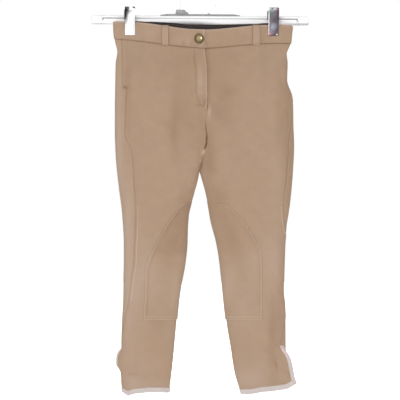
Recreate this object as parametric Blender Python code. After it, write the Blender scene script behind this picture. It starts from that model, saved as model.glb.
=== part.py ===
"""A child's riding breeches, held by the waistband in a clip hanger.

The garment is a set of cloth walls that all follow one surface.  A place on it is named
by its side of the body, by an angle round the leg or hip and by a measure down from the
waist.  The angle is 0 at the middle of a front, 90 degrees at the outer fold, 180 at the
middle of a back and -90 (or 270) at the inner fold.  +X is the wearer's left, +Y the
back, +Z up, and the origin is the inside top of the hanger's hook.

Lengths here are millimetres; they become metres when a mesh is made.
"""
import math

import bmesh
import bpy
import numpy as np
from mathutils import Vector

MM = 0.001
SAME_POINT = 0.01
RIGHT, LEFT = -1, 1
SIDE_NAME = {RIGHT: "right", LEFT: "left"}
QUARTER_TURN = math.pi / 2


# ---------------------------------------------------------------- driving sizes (mm)

CLOTH_Y = -14.5            # the flat garment hangs this far in front of the hanger
WAIST_TOP_Z = -77.5        # height of the measure "down = 0"
CROTCH = 271.4             # measure down to the fork of the legs
CLOTH = 1.6                # stretch twill with its turned edges
SEAM_GAP = 0.3             # between the pieces of one seam
BAND_PROUD, BAND_INSIDE = 0.7, 1.5
LINING_RISE, LINING_IN, LINING_THICK, LINING_REACH = 0.04, 2.0, 1.0, 138.0
PATCH_OUT, PATCH_THICK = 0.6, 1.3
BINDING_WIDTH, BINDING_PROUD, BINDING_INSIDE = 8.5, 0.7, 2.3
VENT_TOP = {RIGHT: 585.5, LEFT: 582.0}

FLY_END, FLY_LIFT, FLY_WIDTH, FLY_RAMP = 156.0, 2.6, 34.0, 18.0
FLY_LAP, BAND_LAP = 6.0, 8.0

LOOP_WIDTH, LOOP_OUT, LOOP_THICK, LOOP_BOW = 12.5, 1.0, 1.4, 1.3
LOOP_ABOVE, LOOP_BELOW = 0.5, 2.2
FRONT_LOOPS = {"right": -62.5, "left": 101.0}
BACK_LOOPS = {"right": -85.0, "middle": 0.0, "left": 85.0}

BUTTON_X, BUTTON_DOWN, BUTTON_RADIUS, BUTTON_HEIGHT = -1.6, 30.6, 9.0, 4.4

HANGER_TILT = math.radians(0.37)
BAR_Z, BAR_HEIGHT, BAR_DEPTH, BAR_END = -72.0, 16.3, 8.0, 178.0
CAP_END, CAP_GAP = 197.5, 0.3
GROOVE_Z, GROOVE_WIDTH, GROOVE_DEPTH = 4.0, 1.2, 0.6
SADDLE_END, SADDLE_HEIGHT, SADDLE_DEPTH = 72.0, 2.5, 6.4
SADDLE_TIP, SADDLE_SLOPE, STUD_X = 0.8, 12.0, 16.0
SADDLE_TOP = BAR_Z + BAR_HEIGHT / 2 + SEAM_GAP + SADDLE_HEIGHT
SHANK_X, HOOK_WIRE, HOOK_RADIUS, HOOK_SWEEP = -33.0, 3.6, 33.0, math.radians(205)
BOSS_BASE, BOSS_TOP, BOSS_TOP_Z, BOSS_FLATNESS, BORE_FLOOR = 12.0, 9.0, -53.0, 0.48, 1.5
CLIP_X = {RIGHT: -126.0, LEFT: 132.7}
CLIP_WIDTH, CLIP_SHEET = 19.0, 0.9
SLIDER_WIDTH, SLIDER_SHEET, SLIDER_GAP = 10.0, 1.0, 0.3
SPRING_Y, SPRING_Z, SPRING_RADIUS = -15.0, -66.0, 2.8
EAR_ROWS, EAR_PAST = (1, 3), 2.6


# The shape of the rounded sections: the higher a fullness, the flatter the section and
# the tighter its folds.  Between two heights above the crotch the legs become one body.
LEG_FULLNESS, HIP_FULLNESS, HIP_TAPER = 6, 14, 0.25
JOIN_LOW, JOIN_HIGH = 15.0, 130.0
MIDDLE_SHARE, MIDDLE_RISE = 1.4, 110.0


# ---------------------------------------------------------------- tables (mm)

def columns(names, rows):
    """A table as one array for each named column; the first column is its measure."""
    return dict(zip(names.split(), np.array(rows, dtype=float).T))


# The outer fold of each leg, and how far the side seam runs in front of that fold.
OUTLINE = {
    RIGHT: columns("down outer ahead", [
        (-3, 156.6, 13), (15, 156.1, 13), (36, 152.3, 13), (54, 148.9, 13),
        (74, 152.3, 13.5), (114, 153.2, 16), (122, 153.3, 20.5), (186, 154.3, 20.5),
        (222, 153.2, 26.5), (249, 151.9, 29.5), (296, 146.2, 29.5), (346, 139.9, 25),
        (402, 137.7, 20), (456, 137.7, 17.8), (501, 138.6, 8), (537, 140.2, 3.4),
        (584, 142.4, 0.5), (600, 142.2, 0), (615, 142, 0), (628, 141.8, -7),
        (672, 139, -9)]),
    LEFT: columns("down outer ahead", [
        (-3, 168.4, -3), (15, 166.7, -3), (37, 163.4, -3), (58, 155.2, -3),
        (74, 157.9, -3), (105, 157.5, -3), (114, 158.2, -3), (132, 165.4, -2),
        (146, 168.2, 0), (186, 168.8, 4), (222, 170.1, 11), (271, 167.4, 11.5),
        (321, 162.5, 13), (345, 159.4, 9.5), (370, 155.6, 3), (402, 153.8, -3),
        (458, 152.5, -5), (486, 150.8, -5), (512, 153, -3), (558, 154, 4),
        (582, 155, 9), (620, 156, 9), (672, 156, 9)]),
}
# Below the vent the back's edge leaves the front's.
VENT_BACK = {
    RIGHT: columns("down ahead", [(584, 0.5), (600, -6), (620, -12), (672, -16)]),
    LEFT: columns("down ahead", [(582, 9), (600, 2), (620, -3), (672, -6)]),
}
# How far the front's vent edge is pulled outwards.
FLARE = {
    RIGHT: columns("down out", [
        (585, 0), (592, 3), (598, 6.5), (605, 8.8), (612, 8.5), (620, 5.8), (627, 3),
        (636, 1), (650, 0.5), (669, -1)]),
    LEFT: columns("down out", [
        (582, 0), (590, 7), (599, 14), (608, 17.5), (620, 20), (638, 23), (650, 26),
        (660, 27)]),
}
FLARE_REACH = 70.0
INSEAM = {
    RIGHT: columns("down inner", [
        (271.4, 1.05), (285, 3.8), (306, 9.8), (328, 16.2), (350, 21.4), (372, 23),
        (400, 23.8), (436, 27.5), (479, 35.5), (501, 38.7), (555, 44.6), (609, 49.3),
        (661, 56.2), (672, 57.8)]),
    LEFT: columns("down inner", [
        (271.4, -0.75), (285, 3.2), (306, 9), (335, 14.9), (364, 20.9), (393, 28.4),
        (422, 33.8), (458, 38), (501, 42.7), (544, 48.6), (587, 56), (630, 62.5),
        (652, 68), (672, 74.5)]),
}
CENTRE_FRONT = columns("down x", [
    (13.7, 9), (47, 8.6), (70, 11), (95, 13), (140, 13), (155, 12.5), (180, 9.5),
    (200, 11), (215, 11), (232, 8), (250, 4), (262, 1), (271.4, -0.9)])
CENTRE_BACK = columns("down x", [
    (0, 5), (150, 6), (215, 7), (232, 6), (250, 4), (262, 1), (271.4, -0.9)])
# Half thickness of the hanging garment, forwards and backwards.
DEPTHS = columns("down front back", [
    (-3, 9.5, 8.5), (33, 10, 10), (80, 14, 17), (150, 17, 25), (220, 17, 25),
    (271, 16, 20), (330, 15, 18), (400, 14, 15), (460, 14, 16), (560, 13, 14),
    (672, 11, 11)])
# Top edge and lower seam of the waistband, which sags between the clips in front.
BAND_FRONT = {
    RIGHT: columns("x top seam", [
        (-158, -1.4, 30.6), (-135, -1.3, 31), (-108, -0.2, 33.6), (-90, 2.3, 36.5),
        (-63, 6.2, 40.5), (-36, 10.4, 43.6), (-9, 13, 46.1), (13, 14, 47.5)]),
    LEFT: columns("x top seam", [
        (0, 14, 47.9), (9, 13.7, 47.3), (36, 12.4, 45.5), (63, 9.9, 42.8), (90, 6.9, 40.5),
        (120, 5, 38.4), (144, 5, 38.3), (169, 7.2, 40)]),
}
BACK_BAND = columns("x top seam", [
    (-158, -1.4, 30.6), (-99, -1.4, 31.2), (-63, -0.5, 32.3), (-18, 3.2, 34),
    (27, 3.5, 35.2), (72, 3, 35.8), (117, 2, 36.3), (144, 4, 37.8), (169, 7.2, 40)])
BAND_SPLIT = columns("down ahead", [(0, -6), (60, -6)])   # the band's side seams
HEM = {
    RIGHT: columns("out down", [
        (57, 662.6), (72, 661.5), (90, 662.2), (108, 664), (121, 667.1), (138, 669)]),
    LEFT: columns("out down", [
        (73.8, 668.7), (90, 667.3), (108, 664.7), (126, 662.6), (144, 660.2),
        (158, 656.5), (173, 650.3)]),
}
# Edge of the knee patch on the front, as a distance from the body's middle plane.
PATCH_EDGE = {
    RIGHT: columns("down out", [
        (320, 16), (330, 32.4), (345, 46), (375, 66), (405.5, 82), (432.5, 94.5),
        (447, 98), (483, 98.5), (536.5, 100.4)]),
    LEFT: columns("down out", [
        (320, 16), (328, 39.6), (333.5, 51), (344.3, 64.8), (358.7, 78.5),
        (376.7, 90.7), (391, 99), (402, 106), (414.5, 110.2), (430.7, 111.6),
        (536.5, 111.2)]),
}
PATCH_BACK_SHARE = 0.88    # the patch's reach on the back, of its reach on the front
# Folds: heights are positive for a ridge and negative for a hollow; the angle is the
# lean of the fold's length from straight down, towards +X.
FRONT_FOLDS = columns("x down lean length width height", [
    (-44, 198, 18, 42, 10, -2.4), (-62, 214, 20, 40, 12, 1.6), (7, 208, -4, 42, 7, -2.2),
    (54, 114, 40, 20, 10, -1.4), (33, 159, 25, 18, 9, -1.4), (146, 163, 0, 42, 8, -1.8),
    (-48, 388, -29, 55, 11, -2.2), (58, 368, 26, 75, 14, -2.6), (140, 521, -17, 38, 9, -2.6),
    (-108, 88, 4, 45, 10, 1.4), (-140, 92, -4, 45, 7, -1.2), (114, 90, -4, 45, 10, 1.4),
    (146, 84, 8, 40, 7, -1.4), (-96, 300, 8, 90, 16, -1.6), (104, 270, -6, 80, 15, -1.5),
    (-92, 486, -4, 50, 12, -1.4), (98, 600, 10, 45, 10, -1.5), (-108, 604, -12, 32, 8, -1.6),
    (122, 596, 14, 30, 8, -1.8), (-22, 262, -58, 26, 8, -1.8), (26, 262, 58, 26, 8, -1.8)])
BACK_FOLDS = columns("x down lean length width height", [
    (-60, 236, -40, 46, 12, -3.0), (62, 238, 40, 46, 12, -3.0), (-104, 196, -20, 60, 14, -2.0),
    (108, 190, 18, 60, 14, -2.0), (-20, 130, 6, 60, 14, -1.6), (34, 120, -8, 55, 13, -1.6),
    (-70, 388, 78, 30, 8, -2.4), (-90, 410, 100, 32, 9, -2.2), (84, 384, 100, 32, 8, -2.4),
    (104, 408, 80, 30, 9, -2.2), (-80, 330, 8, 60, 14, -1.8), (92, 320, -6, 60, 14, -1.8),
    (-72, 556, 6, 50, 12, -1.6), (74, 562, -6, 50, 12, -1.6), (-104, 610, 10, 34, 9, -1.8),
    (116, 608, -12, 34, 9, -1.8)])
# The clips press the layers together.
CLIP_HOLD = columns("down hold", [
    (-3, 0.72), (10, 1), (27, 1), (50, 0.72), (80, 0.3), (110, 0.05), (130, 0)])
PINCH_FRONT, PINCH_BACK, CLIP_FLAT, CLIP_FADE = 1.7, 3.2, 11.5, 20.0
CLIP_FRONT = columns("z y", [
    (-52, -27.3), (-57, -27), (-65, -24.6), (-73, -22.4), (-82, -20.6), (-95, -18.1),
    (-103, -17.8)])
CLIP_BACK = columns("z y", [
    (-53.5, -6.2), (-58, -6.2), (-65, -6.3), (-73, -6.9), (-82, -8.2), (-95, -9.6),
    (-103, -9.8)])


# ---------------------------------------------------------------- curves

def curve(table, column, at):
    """A column's value at a measure, on a smooth curve that overshoots no row."""
    marks, values = next(iter(table.values())), table[column]
    rising = marks if marks[0] < marks[-1] else marks[::-1]
    values = values if marks[0] < marks[-1] else values[::-1]
    steep = np.diff(values) / np.diff(rising)
    before, after = steep[:-1], steep[1:]
    level = before * after <= 0
    inner = np.where(level, 0.0, 2 * before * after / np.where(level, 1.0, before + after))
    slopes = np.concatenate([steep[:1], inner, steep[-1:]])
    at = np.clip(at, rising[0], rising[-1])
    row = np.clip(np.searchsorted(rising, at) - 1, 0, len(rising) - 2)
    span = rising[row + 1] - rising[row]
    t = (at - rising[row]) / span
    rise = (values[row + 1] - values[row]) * ease(t)
    return values[row] + rise + span * t * (1 - t) * (slopes[row] * (1 - t) - slopes[row + 1] * t)


def ease(t):
    """0 to 1 with level ends."""
    t = np.clip(t, 0.0, 1.0)
    return t * t * (3 - 2 * t)


# ---------------------------------------------------------------- the cloth's surface

def centre(line, side, down):
    """Distance out to a side's edge of the seam down the middle of the body."""
    return side * curve(line, "x", down) + SEAM_GAP / 2


def lens(side, down):
    """Half width and middle of one side's rounded section.

    Below the crotch it is the leg.  Above, it is a longer section that the middle seam
    cuts off, and its share past that seam grows from nothing at the crotch.
    """
    outer = curve(OUTLINE[side], "outer", down)
    above = np.maximum(0.0, CROTCH - down)
    share = MIDDLE_SHARE * (1 - np.exp(-(above / MIDDLE_RISE) ** 2))
    leg = (outer - curve(INSEAM[side], "inner", down)) / 2
    hip = (outer - centre(CENTRE_FRONT, side, down)) / (2 - share)
    half = np.where(above > 0, hip, leg)
    return half, outer - half


def hip_swell(x, down):
    """Thickness share of the whole flat body, from one outer fold to the other."""
    left = curve(OUTLINE[LEFT], "outer", down)
    right = -curve(OUTLINE[RIGHT], "outer", down)
    across = (2 * x - left - right) / (left - right)
    fold = np.sqrt(np.maximum(0.0, 1 - np.abs(across) ** HIP_FULLNESS))
    return fold * (1 - HIP_TAPER * across ** 2)


def folds(table, x, down):
    """Height of the folds that a table lists."""
    height = np.zeros_like(x)
    for row in zip(*table.values()):
        fold_x, fold_down, lean, length, width, rise = row
        sine, cosine = math.sin(math.radians(lean)), math.cos(math.radians(lean))
        along = (x - fold_x) * sine + (down - fold_down) * cosine
        across = (x - fold_x) * cosine - (down - fold_down) * sine
        height = height + rise * np.exp(-(along / length) ** 2 - (across / width) ** 2)
    return height


def clip_hold(x, down):
    """How firmly a clip presses the cloth, from 0 to 1."""
    hold = np.zeros_like(x)
    for clip_x in CLIP_X.values():
        hold = np.maximum(hold, 1 - ease((np.abs(x - clip_x) - CLIP_FLAT) / CLIP_FADE))
    return hold * curve(CLIP_HOLD, "hold", down)


def vent_angle(side, down):
    """Angle of the front's side seam, and below it of the front's vent edge."""
    return ahead_angle(side, down, OUTLINE[side])


def ahead_angle(side, down, table):
    """Angle of a line that the table puts in front of the outer fold."""
    half, _ = lens(side, down)
    ahead = curve(table, "ahead", down)
    return QUARTER_TURN - np.sign(ahead) * np.arccos(1 - np.abs(ahead) / half)


def place(side, angle, down, flap=0.0, lift=0.0):
    """Points of the cloth's outer face.

    flap is 1 on a front, whose vent edge flares; lift raises a lap over its neighbour.
    """
    angle, down = np.broadcast_arrays(np.asarray(angle, float), np.asarray(down, float))
    half, middle = lens(side, down)
    reach, facing = np.sin(angle), np.cos(angle)
    x = side * (middle + half * reach)
    lobe = np.sqrt(np.maximum(0.0, 1 - np.abs(reach) ** LEG_FULLNESS))
    joined = ease((CROTCH - JOIN_LOW - down) / (JOIN_HIGH - JOIN_LOW))
    swell = lobe + (hip_swell(x, down) - lobe) * joined
    front = facing > 0
    depth = np.where(front, curve(DEPTHS, "front", down), curve(DEPTHS, "back", down))
    creased = np.where(front, folds(FRONT_FOLDS, x, down), folds(BACK_FOLDS, x, down))
    bulge = (depth + creased) * swell
    pinch = np.where(front, PINCH_FRONT, PINCH_BACK) * np.tanh(4 * swell)
    bulge = bulge + (pinch - bulge) * clip_hold(x, down)
    arc = (vent_angle(side, down) - angle) * half
    flared = flap * curve(FLARE[side], "out", down) * ease(1 - arc / FLARE_REACH)
    y = CLOTH_Y - np.sign(facing) * bulge - lift
    return np.stack([x + side * flared, y, WAIST_TOP_Z - down], axis=-1)


def outward(side, angle, down, flap=0.0):
    """Unit normals of the cloth's outer face."""
    turn, step = 0.002, 0.3
    round_way = place(side, angle + turn, down, flap) - place(side, angle - turn, down, flap)
    down_way = place(side, angle, down + step, flap) - place(side, angle, down - step, flap)
    normal = side * np.cross(down_way, round_way)
    return normal / np.linalg.norm(normal, axis=-1, keepdims=True)


def shifted(side, angle, down, distance, flap=0.0):
    """The angle a given distance further round the cloth."""
    turn, steps = 0.002, 4
    for _ in range(steps):
        ahead = place(side, angle + turn, down, flap)
        behind = place(side, angle - turn, down, flap)
        speed = np.linalg.norm(ahead - behind, axis=-1) / (2 * turn)
        angle = angle + distance / steps / np.maximum(speed, 1.0)
    return angle


def angle_at(side, x, down, back=False):
    """Angle of the place at x on a side's front or back."""
    half, middle = lens(side, down)
    angle = np.arcsin(np.clip((side * x - middle) / half, -1, 1))
    return math.pi - angle if back else angle


# ---------------------------------------------------------------- meshes

def material(name, color, roughness, metallic=0.0):
    """A plain finish."""
    finish = bpy.data.materials.new(name)
    finish.use_nodes = True
    shader = finish.node_tree.nodes["Principled BSDF"]
    shader.inputs["Base Color"].default_value = (*color, 1.0)
    shader.inputs["Roughness"].default_value = roughness
    shader.inputs["Metallic"].default_value = metallic
    return finish


def solid(name, points, faces, finish):
    """An object from points in millimetres and faces, which it turns outwards."""
    mesh = bpy.data.meshes.new(name)
    mesh.from_pydata([Vector(point) * MM for point in points], [], faces)
    shape = bmesh.new()
    shape.from_mesh(mesh)
    spare = [vertex for vertex in shape.verts if not vertex.link_faces]
    bmesh.ops.delete(shape, geom=spare, context="VERTS")
    bmesh.ops.remove_doubles(shape, verts=shape.verts, dist=SAME_POINT * MM)
    bmesh.ops.recalc_face_normals(shape, faces=shape.faces)
    shape.to_mesh(mesh)
    shape.free()
    mesh.shade_smooth()
    mesh.set_sharp_from_angle(angle=math.radians(40))
    mesh.materials.append(finish)
    thing = bpy.data.objects.new(name, mesh)
    bpy.context.collection.objects.link(thing)
    return thing


def wall(name, points, normals, out, thick, finish, kept=None):
    """A closed cloth wall over a grid of cells, its outer face `out` outside the points."""
    rows, across = points.shape[:2]
    if kept is None:
        kept = np.ones((rows - 1, across - 1), dtype=bool)
    outer = points + normals * out
    inner = outer - normals * thick
    inside = rows * across
    faces = []
    for row, column in zip(*np.nonzero(kept)):
        corner = row * across + column
        ring = [corner, corner + 1, corner + across + 1, corner + across]
        faces += [ring, [inside + index for index in reversed(ring)]]
        beside = [(row - 1, column), (row, column + 1), (row + 1, column), (row, column - 1)]
        for (r, c), first, second in zip(beside, ring, ring[1:] + ring[:1]):
            open_edge = r < 0 or c < 0 or r == rows - 1 or c == across - 1 or not kept[r, c]
            if open_edge:
                faces.append([second, first, inside + first, inside + second])
    corners = np.concatenate([outer.reshape(-1, 3), inner.reshape(-1, 3)])
    return solid(name, corners, [[int(index) for index in face] for face in faces], finish)


def loft(name, rings, finish, closed=False):
    """A solid through rings of equal length, with flat ends or joined end to end."""
    count = len(rings[0])
    pairs = list(zip(range(len(rings) - 1), range(1, len(rings))))
    faces = []
    if closed:
        pairs.append((len(rings) - 1, 0))
    else:
        last = (len(rings) - 1) * count
        faces += [list(range(count)), [last + index for index in reversed(range(count))]]
    for first, second in pairs:
        for index in range(count):
            after = (index + 1) % count
            faces.append([first * count + index, first * count + after,
                          second * count + after, second * count + index])
    return solid(name, [point for ring in rings for point in ring], faces, finish)


# ---------------------------------------------------------------- cloth pieces

PANEL_TOP, PANEL_FADE, HEM_FADE = 40.0, 130.0, 60.0
WAIST_LEVEL, HEM_LEVEL = 20.0, 656.0
PANEL_BOTTOM = 651.2
PANEL_COLUMNS, BAND_COLUMNS = 10, 18
PATCH_ROWS = (323, 325.5, 328.5, 332.5, 338, 345, 353, 363, 376, 392, 412, 438, 470, 504, 536.5)
PANEL_ROWS = (40, 60, 84, 108, 122, 144, 152, 168, 192, 216, 238, 256, 271.4, 285, 304,
              *PATCH_ROWS, 558)
VENT_ROWS = (600, 614, 630, PANEL_BOTTOM)
VENT_STEP, VENT_GAP = 0.4, 0.6


def fly_lift(x, down):
    """Height of the right front's fly over the left one's."""
    from_edge = curve(CENTRE_FRONT, "x", down) - x
    return FLY_LIFT * ease((FLY_WIDTH - from_edge) / FLY_RAMP) * (1 - ease((down - FLY_END) / 9.0))


def inner_angle(side, down, back, lap=0.0):
    """Angle of a panel's inner edge: the middle seam, and the inseam below the crotch."""
    line = CENTRE_BACK if back else CENTRE_FRONT
    cut = side * (centre(line, side, down) - lap)
    middle_seam = angle_at(side, cut, down, back)
    fold = -QUARTER_TURN + back * 4 * QUARTER_TURN
    inseam = shifted(side, np.full_like(down, fold), down, SEAM_GAP / 2 * (1 - 2 * back))
    return np.where(down < CROTCH - 0.01, middle_seam, inseam)


def outer_angle(side, down, back):
    """Angle of a panel's outer edge: the side seam, and the bound vent below it."""
    toward_panel = 2 * back - 1
    seam = shifted(side, vent_angle(side, down), down, toward_panel * SEAM_GAP / 2)
    trim = toward_panel * (BINDING_WIDTH + VENT_GAP)
    vent = ahead_angle(side, down, VENT_BACK[side]) if back else vent_angle(side, down)
    vent = shifted(side, vent, down, trim, flap=1.0 - back)
    return np.where(down > VENT_TOP[side] + 0.1, vent, seam)


def band_edges(side, back):
    """The table of the waistband's two edges there."""
    return BACK_BAND if back else BAND_FRONT[side]


def x_at(side, angle, level):
    """Where an angle lies across the body at one level."""
    half, middle = lens(side, np.array(level))
    return side * (middle + half * np.sin(angle))


def true_down(side, back, rows, angle):
    """Rows that follow the waistband's seam at the top and the hem at the bottom."""
    waist_x = x_at(side, angle, WAIST_LEVEL)
    band = curve(band_edges(side, back), "seam", waist_x) + SEAM_GAP / 2
    out = side * x_at(side, angle, HEM_LEVEL)
    hem = curve(HEM[side], "down", out) - BINDING_WIDTH - VENT_GAP
    near_band = 1 - ease((rows - PANEL_TOP) / PANEL_FADE)
    near_hem = ease((rows - PANEL_BOTTOM + HEM_FADE) / HEM_FADE)
    return rows + (band - PANEL_TOP) * near_band + (hem - PANEL_BOTTOM) * near_hem


def panel_grid(side, back):
    """Angles and measures of a panel's points, from its inner edge to its outer one."""
    vent = VENT_TOP[side]
    rows = np.array((*PANEL_ROWS, vent, vent + VENT_STEP, *VENT_ROWS))[:, None]
    share = np.linspace(0, 1, PANEL_COLUMNS + 1)[None, :]
    down = rows + 0 * share
    for _ in range(3):
        lap = 0.0
        if side == LEFT and not back:
            lap = FLY_LAP * (1 - ease((down[:, 0] - FLY_END + 12) / 6.0))
        start = inner_angle(side, down[:, 0], back, lap)
        end = outer_angle(side, down[:, -1], back)
        angle = start[:, None] + (end - start)[:, None] * share
        down = true_down(side, back, rows, angle)
    return angle, down


def panel(side, back, finish):
    """A front or back, from the waistband to the binding."""
    angle, down = panel_grid(side, back)
    lift = 0.0
    if side == RIGHT and not back:
        lift = fly_lift(place(side, angle, down)[..., 0], down)
    flap = 1.0 - back
    points = place(side, angle, down, flap, lift)
    name = ("back_" if back else "front_") + SIDE_NAME[side]
    return wall(name, points, outward(side, angle, down, flap), 0.0, CLOTH, finish)


def band_rows(table, x, rows=4):
    """Measures down across the waistband, from its top edge to its seam."""
    share = np.linspace(0, 1, rows)[:, None]
    top = curve(table, "top", x)
    return top + (curve(table, "seam", x) - SEAM_GAP / 2 - top) * share


def band_grid(side, back, lap=0.0):
    """Angles and measures of one side's half of the waistband, from the middle out."""
    line = CENTRE_BACK if back else CENTRE_FRONT
    down = np.array([WAIST_LEVEL])
    start = angle_at(side, side * (centre(line, side, down) - lap), down, back)
    split = ahead_angle(side, down, BAND_SPLIT)
    split = shifted(side, split, down, (2 * back - 1) * SEAM_GAP / 2)
    angle = np.linspace(start, split, BAND_COLUMNS + 1).T
    measure = band_rows(band_edges(side, back), x_at(side, angle, WAIST_LEVEL))
    return angle + 0 * measure, measure


def front_band(side, finish):
    """Front half of the waistband, the right one lapping over the left."""
    angle, down = band_grid(side, False, BAND_LAP if side == LEFT else 0.0)
    lift = 0.0
    if side == RIGHT:
        lift = fly_lift(place(side, angle, down)[..., 0], down)
    thick = BAND_PROUD + BAND_INSIDE
    points = place(side, angle, down, lift=lift)
    return wall("waistband_front_" + SIDE_NAME[side], points, outward(side, angle, down),
                BAND_PROUD, thick, finish)


def back_band_points():
    """Points and normals of the whole back of the waistband, from right to left."""
    points, normals = [], []
    for side, order, first in ((RIGHT, -1, 0), (LEFT, 1, 1)):
        angle, down = band_grid(side, True)
        points.append(place(side, angle, down)[:, first:][:, ::order])
        normals.append(outward(side, angle, down)[:, first:][:, ::order])
    return np.concatenate(points, axis=1), np.concatenate(normals, axis=1)


def back_band(finish):
    """Back half of the waistband, in one length."""
    points, normals = back_band_points()
    thick = BAND_PROUD + BAND_INSIDE
    return wall("waistband_back", points, normals, BAND_PROUD, thick, finish)


def band_lining(finish):
    """The dark lining that shows inside the back of the waistband."""
    points, normals = back_band_points()
    reached = np.abs(points[0, :, 0]) < LINING_REACH
    points, normals = points[:, reached], normals[:, reached]
    points[0] += (points[0] - points[1]) * LINING_RISE
    return wall("waistband_lining", points, normals, -LINING_IN, LINING_THICK, finish)


def knee_patch(side, finish):
    """Inner-knee patch, made from the panels' own points and wrapped round the inseam."""
    rows = [PANEL_ROWS.index(row) for row in PATCH_ROWS]
    front, down = (grid[rows] for grid in panel_grid(side, 0))
    back = panel_grid(side, 1)[0][rows] - 4 * QUARTER_TURN
    front[:, 0] = -QUARTER_TURN
    edge = curve(PATCH_EDGE[side], "out", down[:, :1])
    inner = curve(INSEAM[side], "inner", down[:, :1])
    back_edge = inner + (edge - inner) * PATCH_BACK_SHARE
    limit = angle_at(side, side * edge, down[:, :1])
    back_limit = angle_at(side, side * back_edge, down[:, :1], back=True) - 4 * QUARTER_TURN
    angle = np.concatenate([np.minimum(front, limit)[:, ::-1],
                            np.maximum(back, back_limit)[:, 1:]], axis=1)
    down = down[:, :1] + 0 * angle
    points, normals = place(side, angle, down), outward(side, angle, down)
    thick = PATCH_THICK
    return wall("knee_patch_" + SIDE_NAME[side], points, normals, PATCH_OUT + thick, thick,
                finish)


def hem_binding(side, finish):
    """Binding along a leg's hem and up both edges of its vent."""
    top = VENT_TOP[side] + VENT_STEP + SEAM_GAP
    rows = np.array((top, *VENT_ROWS[:-1], PANEL_BOTTOM + VENT_GAP,
                     PANEL_BOTTOM + VENT_GAP + BINDING_WIDTH))[:, None]
    across = 20
    down = rows + np.zeros((1, across + 1))
    for _ in range(3):
        front_edge = vent_angle(side, down[:, 0])
        back_edge = ahead_angle(side, down[:, -1], VENT_BACK[side])
        front_strip = shifted(side, front_edge, down[:, 1], -BINDING_WIDTH, flap=1.0)
        back_strip = shifted(side, back_edge, down[:, -2], BINDING_WIDTH)
        front_edge[0] = shifted(side, front_edge, down[:, 0], -SEAM_GAP)[0]
        back_edge[0] = shifted(side, back_edge, down[:, -1], SEAM_GAP)[0]
        middle = np.linspace(front_strip, back_strip - 4 * QUARTER_TURN, across - 1).T
        angle = np.column_stack([front_edge, middle, back_edge - 4 * QUARTER_TURN])
        flap = (angle > -QUARTER_TURN) * 1.0
        down = true_down(side, False, rows, angle)
    kept = np.zeros((len(rows) - 1, across), dtype=bool)
    kept[-1] = kept[:, 0] = kept[:, -1] = True
    points, normals = place(side, angle, down, flap), outward(side, angle, down, flap)
    thick = BINDING_PROUD + BINDING_INSIDE
    return wall("hem_binding_" + SIDE_NAME[side], points, normals, BINDING_PROUD, thick,
                finish, kept)


def belt_loop(name, x, back, finish):
    """A belt loop over the waistband, bowed out between its ends."""
    side = RIGHT if x < 0 else LEFT
    table = band_edges(side, back)
    rows = 7
    share = np.linspace(0, 1, rows)[:, None]
    top = curve(table, "top", np.array(x)) - LOOP_ABOVE
    bottom = curve(table, "seam", np.array(x)) + LOOP_BELOW
    across = x + np.linspace(-LOOP_WIDTH / 2, LOOP_WIDTH / 2, 3)[None, :]
    down = top + (bottom - top) * share + 0 * across
    angle = angle_at(side, across, down, back)
    normals = outward(side, angle, down)
    bow = LOOP_BOW * np.sin(math.pi * share)[..., None]
    points = place(side, angle, down) + normals * bow
    return wall(name, points, normals, LOOP_OUT + LOOP_THICK, LOOP_THICK, finish)


# ---------------------------------------------------------------- button and hanger

def circle(radius, count=24):
    """Points round a circle in its own plane."""
    turns = [2 * math.pi * index / count for index in range(count)]
    return [(radius * math.cos(turn), radius * math.sin(turn)) for turn in turns]


def button(finish):
    """Domed shank button on the end of the right waistband."""
    down = np.array([BUTTON_DOWN])
    x = np.array([BUTTON_X])
    seat = place(RIGHT, angle_at(RIGHT, x, down), down, lift=fly_lift(x, down))[0]
    profile = columns("radius out", [
        (0.38, 0), (0.38, 0.27), (0.84, 0.3), (1, 0.39), (1, 0.48), (0.92, 0.57),
        (0.8, 0.57), (0.71, 0.75), (0.51, 0.91), (0.27, 1)])
    rings = []
    for radius, out in zip(profile["radius"], profile["out"]):
        y = seat[1] - BAND_PROUD - SEAM_GAP - out * BUTTON_HEIGHT
        rings.append([(seat[0] + a, y, seat[2] + b) for a, b in circle(radius * BUTTON_RADIUS)])
    return loft("button", rings, finish)


def rounded(depth, height, radius, steps=4):
    """Outline (y, z) of a bar's section, from its front face's top over the back."""
    outline = []
    for quarter, (sign_y, sign_z) in enumerate([(-1, 1), (1, 1), (1, -1), (-1, -1)]):
        for step in range(steps + 1):
            turn = math.pi - (quarter + step / steps) * QUARTER_TURN
            outline.append((sign_y * (depth / 2 - radius) + radius * math.cos(turn),
                            sign_z * (height / 2 - radius) + radius * math.sin(turn)))
    return outline


def section(outline, x, z, scale=1.0):
    """An outline placed across the bar."""
    return [(x, scale * a, z + scale * b) for a, b in outline]


def hanger_bar(finish):
    """The hanger's bar, with a groove along its front."""
    outline = rounded(BAR_DEPTH, BAR_HEIGHT, 3.4)
    face, floor = -BAR_DEPTH / 2, GROOVE_DEPTH - BAR_DEPTH / 2
    low, high = GROOVE_Z - GROOVE_WIDTH / 2, GROOVE_Z + GROOVE_WIDTH / 2
    outline += [(face, low), (floor, GROOVE_Z - GROOVE_WIDTH / 4),
                (floor, GROOVE_Z + GROOVE_WIDTH / 4), (face, high)]
    ends = [section(outline, x, BAR_Z) for x in (-BAR_END, BAR_END)]
    return loft("hanger_bar", ends, finish)


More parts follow.
